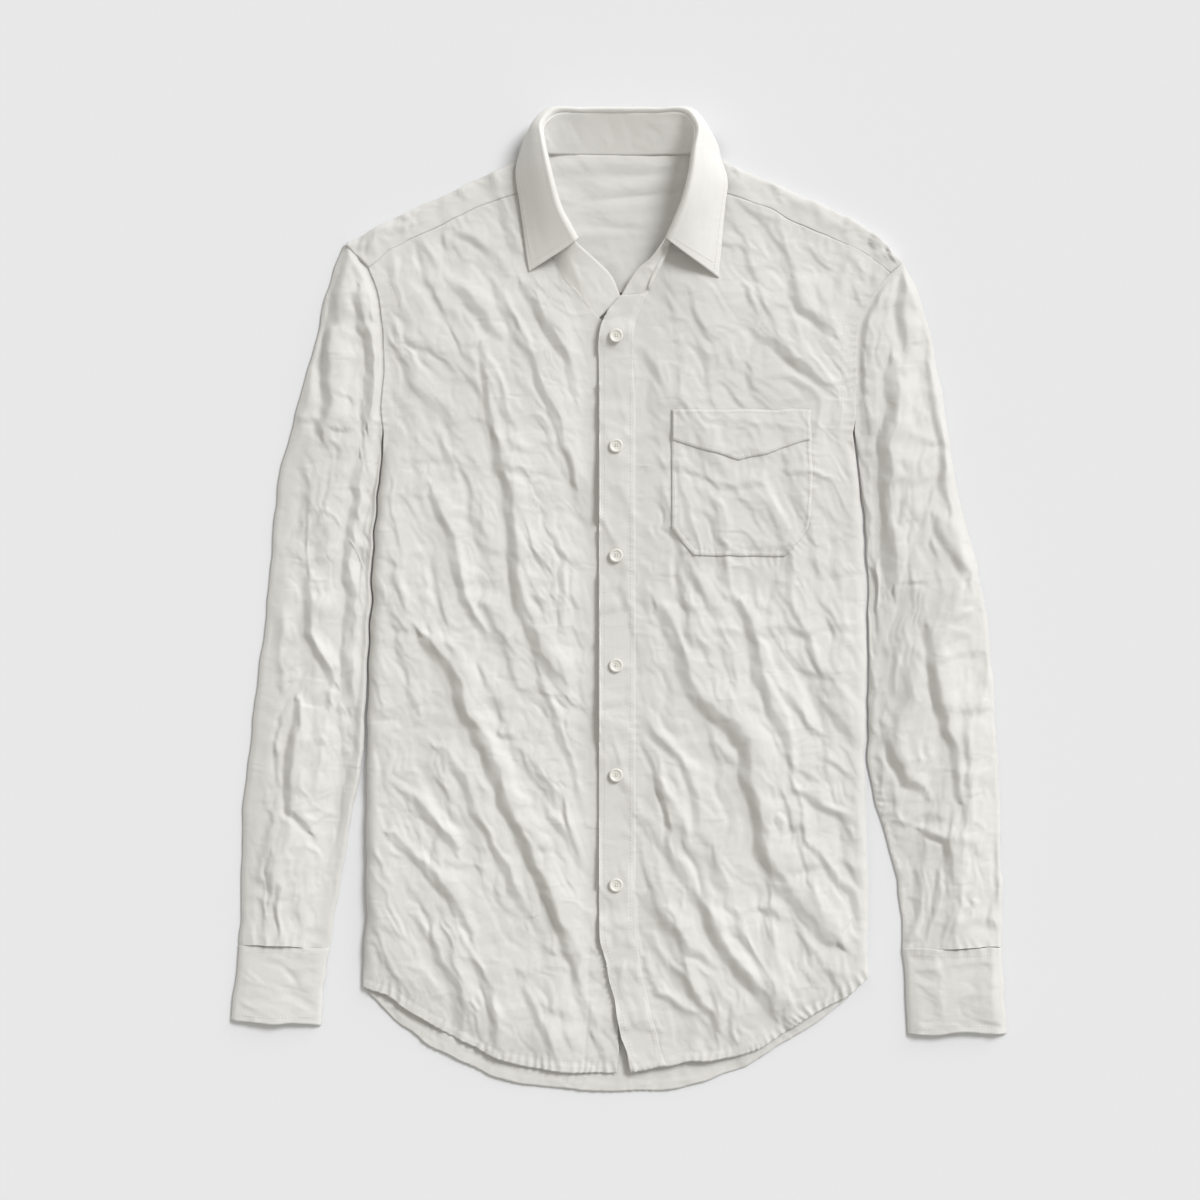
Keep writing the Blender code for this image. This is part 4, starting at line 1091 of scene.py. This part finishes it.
fronts = make_fronts()
back, back_area = make_back()
yoke = make_yoke()
sleeves = make_sleeves()
cuffs = make_cuffs()
placket = make_placket()
pocket, band = make_pocket()
stand, neck_line = make_stand()
leaf, leaf_points = make_leaf()
neck_roll = make_neck_roll()
button_lines = make_buttons()

seams = stitches("topstitching_body", [
    on(left_z, offset_line(edge((LEFT_HEM, 200)), HEM_WIDTH)[6:-4]),
    on(right_z, offset_line(edge((RIGHT_HEM, 200)), -HEM_WIDTH)[4:-4]),
    on(placket_z, offset_line(edge((LEFT_FRONT_EDGE[3:], 400)), 5.0)[2:-6]),
    on(placket_z, offset_line(edge((PLACKET_SEAM[1:], 400)), -4.0)[2:-6]),
    on(right_z, offset_line(edge((RIGHT_ARMHOLE[2:], 90)), 12.0)[6:-2]),
    on(left_z, offset_line(edge((LEFT_ARMHOLE[2:], 90)), -12.0)[6:-2])], 3.0, 2.2, STITCH)
stitches("topstitching_pocket", [
    on(pocket_z, straight([(46.5, 158), (46.5, 61), (63, 39.8), (138, 39.8), (158, 61), (159.2, 158)], 40)),
    on(band_z, straight([(47, 136.5), (73, 128.4), (100.5, 119.5), (130, 128.4), (158, 136.5)], 30)),
    on(band_z, evenly(np.array([(47, 157.5), (158, 157.5)]), 89))], 2.8, 2.0, STITCH)

STEPS_IN = 4  # from a grid's edge to its topstitching
leaf_seams = (leaf_points[:, -STEPS_IN - 1], leaf_points[STEPS_IN, 8:-STEPS_IN],
              leaf_points[-STEPS_IN - 1, 8:-STEPS_IN])
collar_lines = [*(line + [0, 0, 0.05] for line in leaf_seams), neck_line - 0.7 * np.array([0, 0.9, -0.4])]
collar_seams = stitches("topstitching_collar", collar_lines, 2.6, 2.1, STITCH)

cuff_lines = []
for side, row in (("left", STEPS_IN), ("left", -STEPS_IN - 1), ("right", STEPS_IN), ("right", -STEPS_IN - 1)):
    line = cuffs[side][1][row]
    t = np.linspace(0, 1, len(line))
    near = np.minimum(t, 1 - t) * np.linalg.norm(line[-1] - line[0])
    cuff_lines.append(on(lambda x, y: cuff_top(x, y, t, near), line)[3:-3])
stitches("topstitching_cuffs", cuff_lines, 2.8, 2.0, STITCH)
stitches("button_thread", button_lines, 2.4, 2.3, 0.24)

# ---------------------------------------------------------------- what stands for what

for piece, node in ((fronts["left"][0], "front_left"), (fronts["right"][0], "front_right"), (back, "back"),
                    (yoke, "yoke"), (placket, "placket"), (pocket, "pocket"), (band, "pocket_band"),
                    (stand, "collar_stand"), (neck_roll, "collar_stand"), (leaf, "collar_leaf"),
                    (sleeves["left"][0], "sleeve_left"), (sleeves["right"][0], "sleeve_right"),
                    (cuffs["left"][0], "cuff_left"), (cuffs["right"][0], "cuff_right")):
    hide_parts(node)

# ---------------------------------------------------------------- floor, light and camera

floor, tree, shader = new_material("pale_floor")
feed(tree, shader, {"Base Color": (0.80, 0.808, 0.842, 1), "Roughness": 0.95, "Specular IOR Level": 0.1})
plane = bpy.data.meshes.new("floor")
plane.from_pydata([(-6, -6, 0), (6, -6, 0), (6, 6, 0), (-6, 6, 0)], [], [(0, 1, 2, 3)])
plane.materials.append(floor)
placed("floor", plane)

for name, softness, strength, height in (("key", 22, 2.2, 42), ("low_key", 30, 0.6, 13)):
    data = bpy.data.lights.new(name, "SUN")
    data.angle = math.radians(softness)
    data.energy = strength
    placed(name, data).rotation_euler = (math.radians(90 - height), 0, math.radians(135))
world = bpy.data.worlds.new("studio")
bpy.context.scene.world = world
world.use_nodes = True
feed(world.node_tree, world.node_tree.nodes["Background"], {"Color": (1.0, 0.98, 0.90, 1), "Strength": 0.5})

scene = bpy.context.scene
scene.view_settings.view_transform = "Standard"
lens = bpy.data.cameras.new("camera")
lens.lens = 100
lens.sensor_width = 36
lens.clip_end = 50
camera = placed("camera", lens)
camera.location = (-0.016, 0, 2.81)
scene.camera = camera
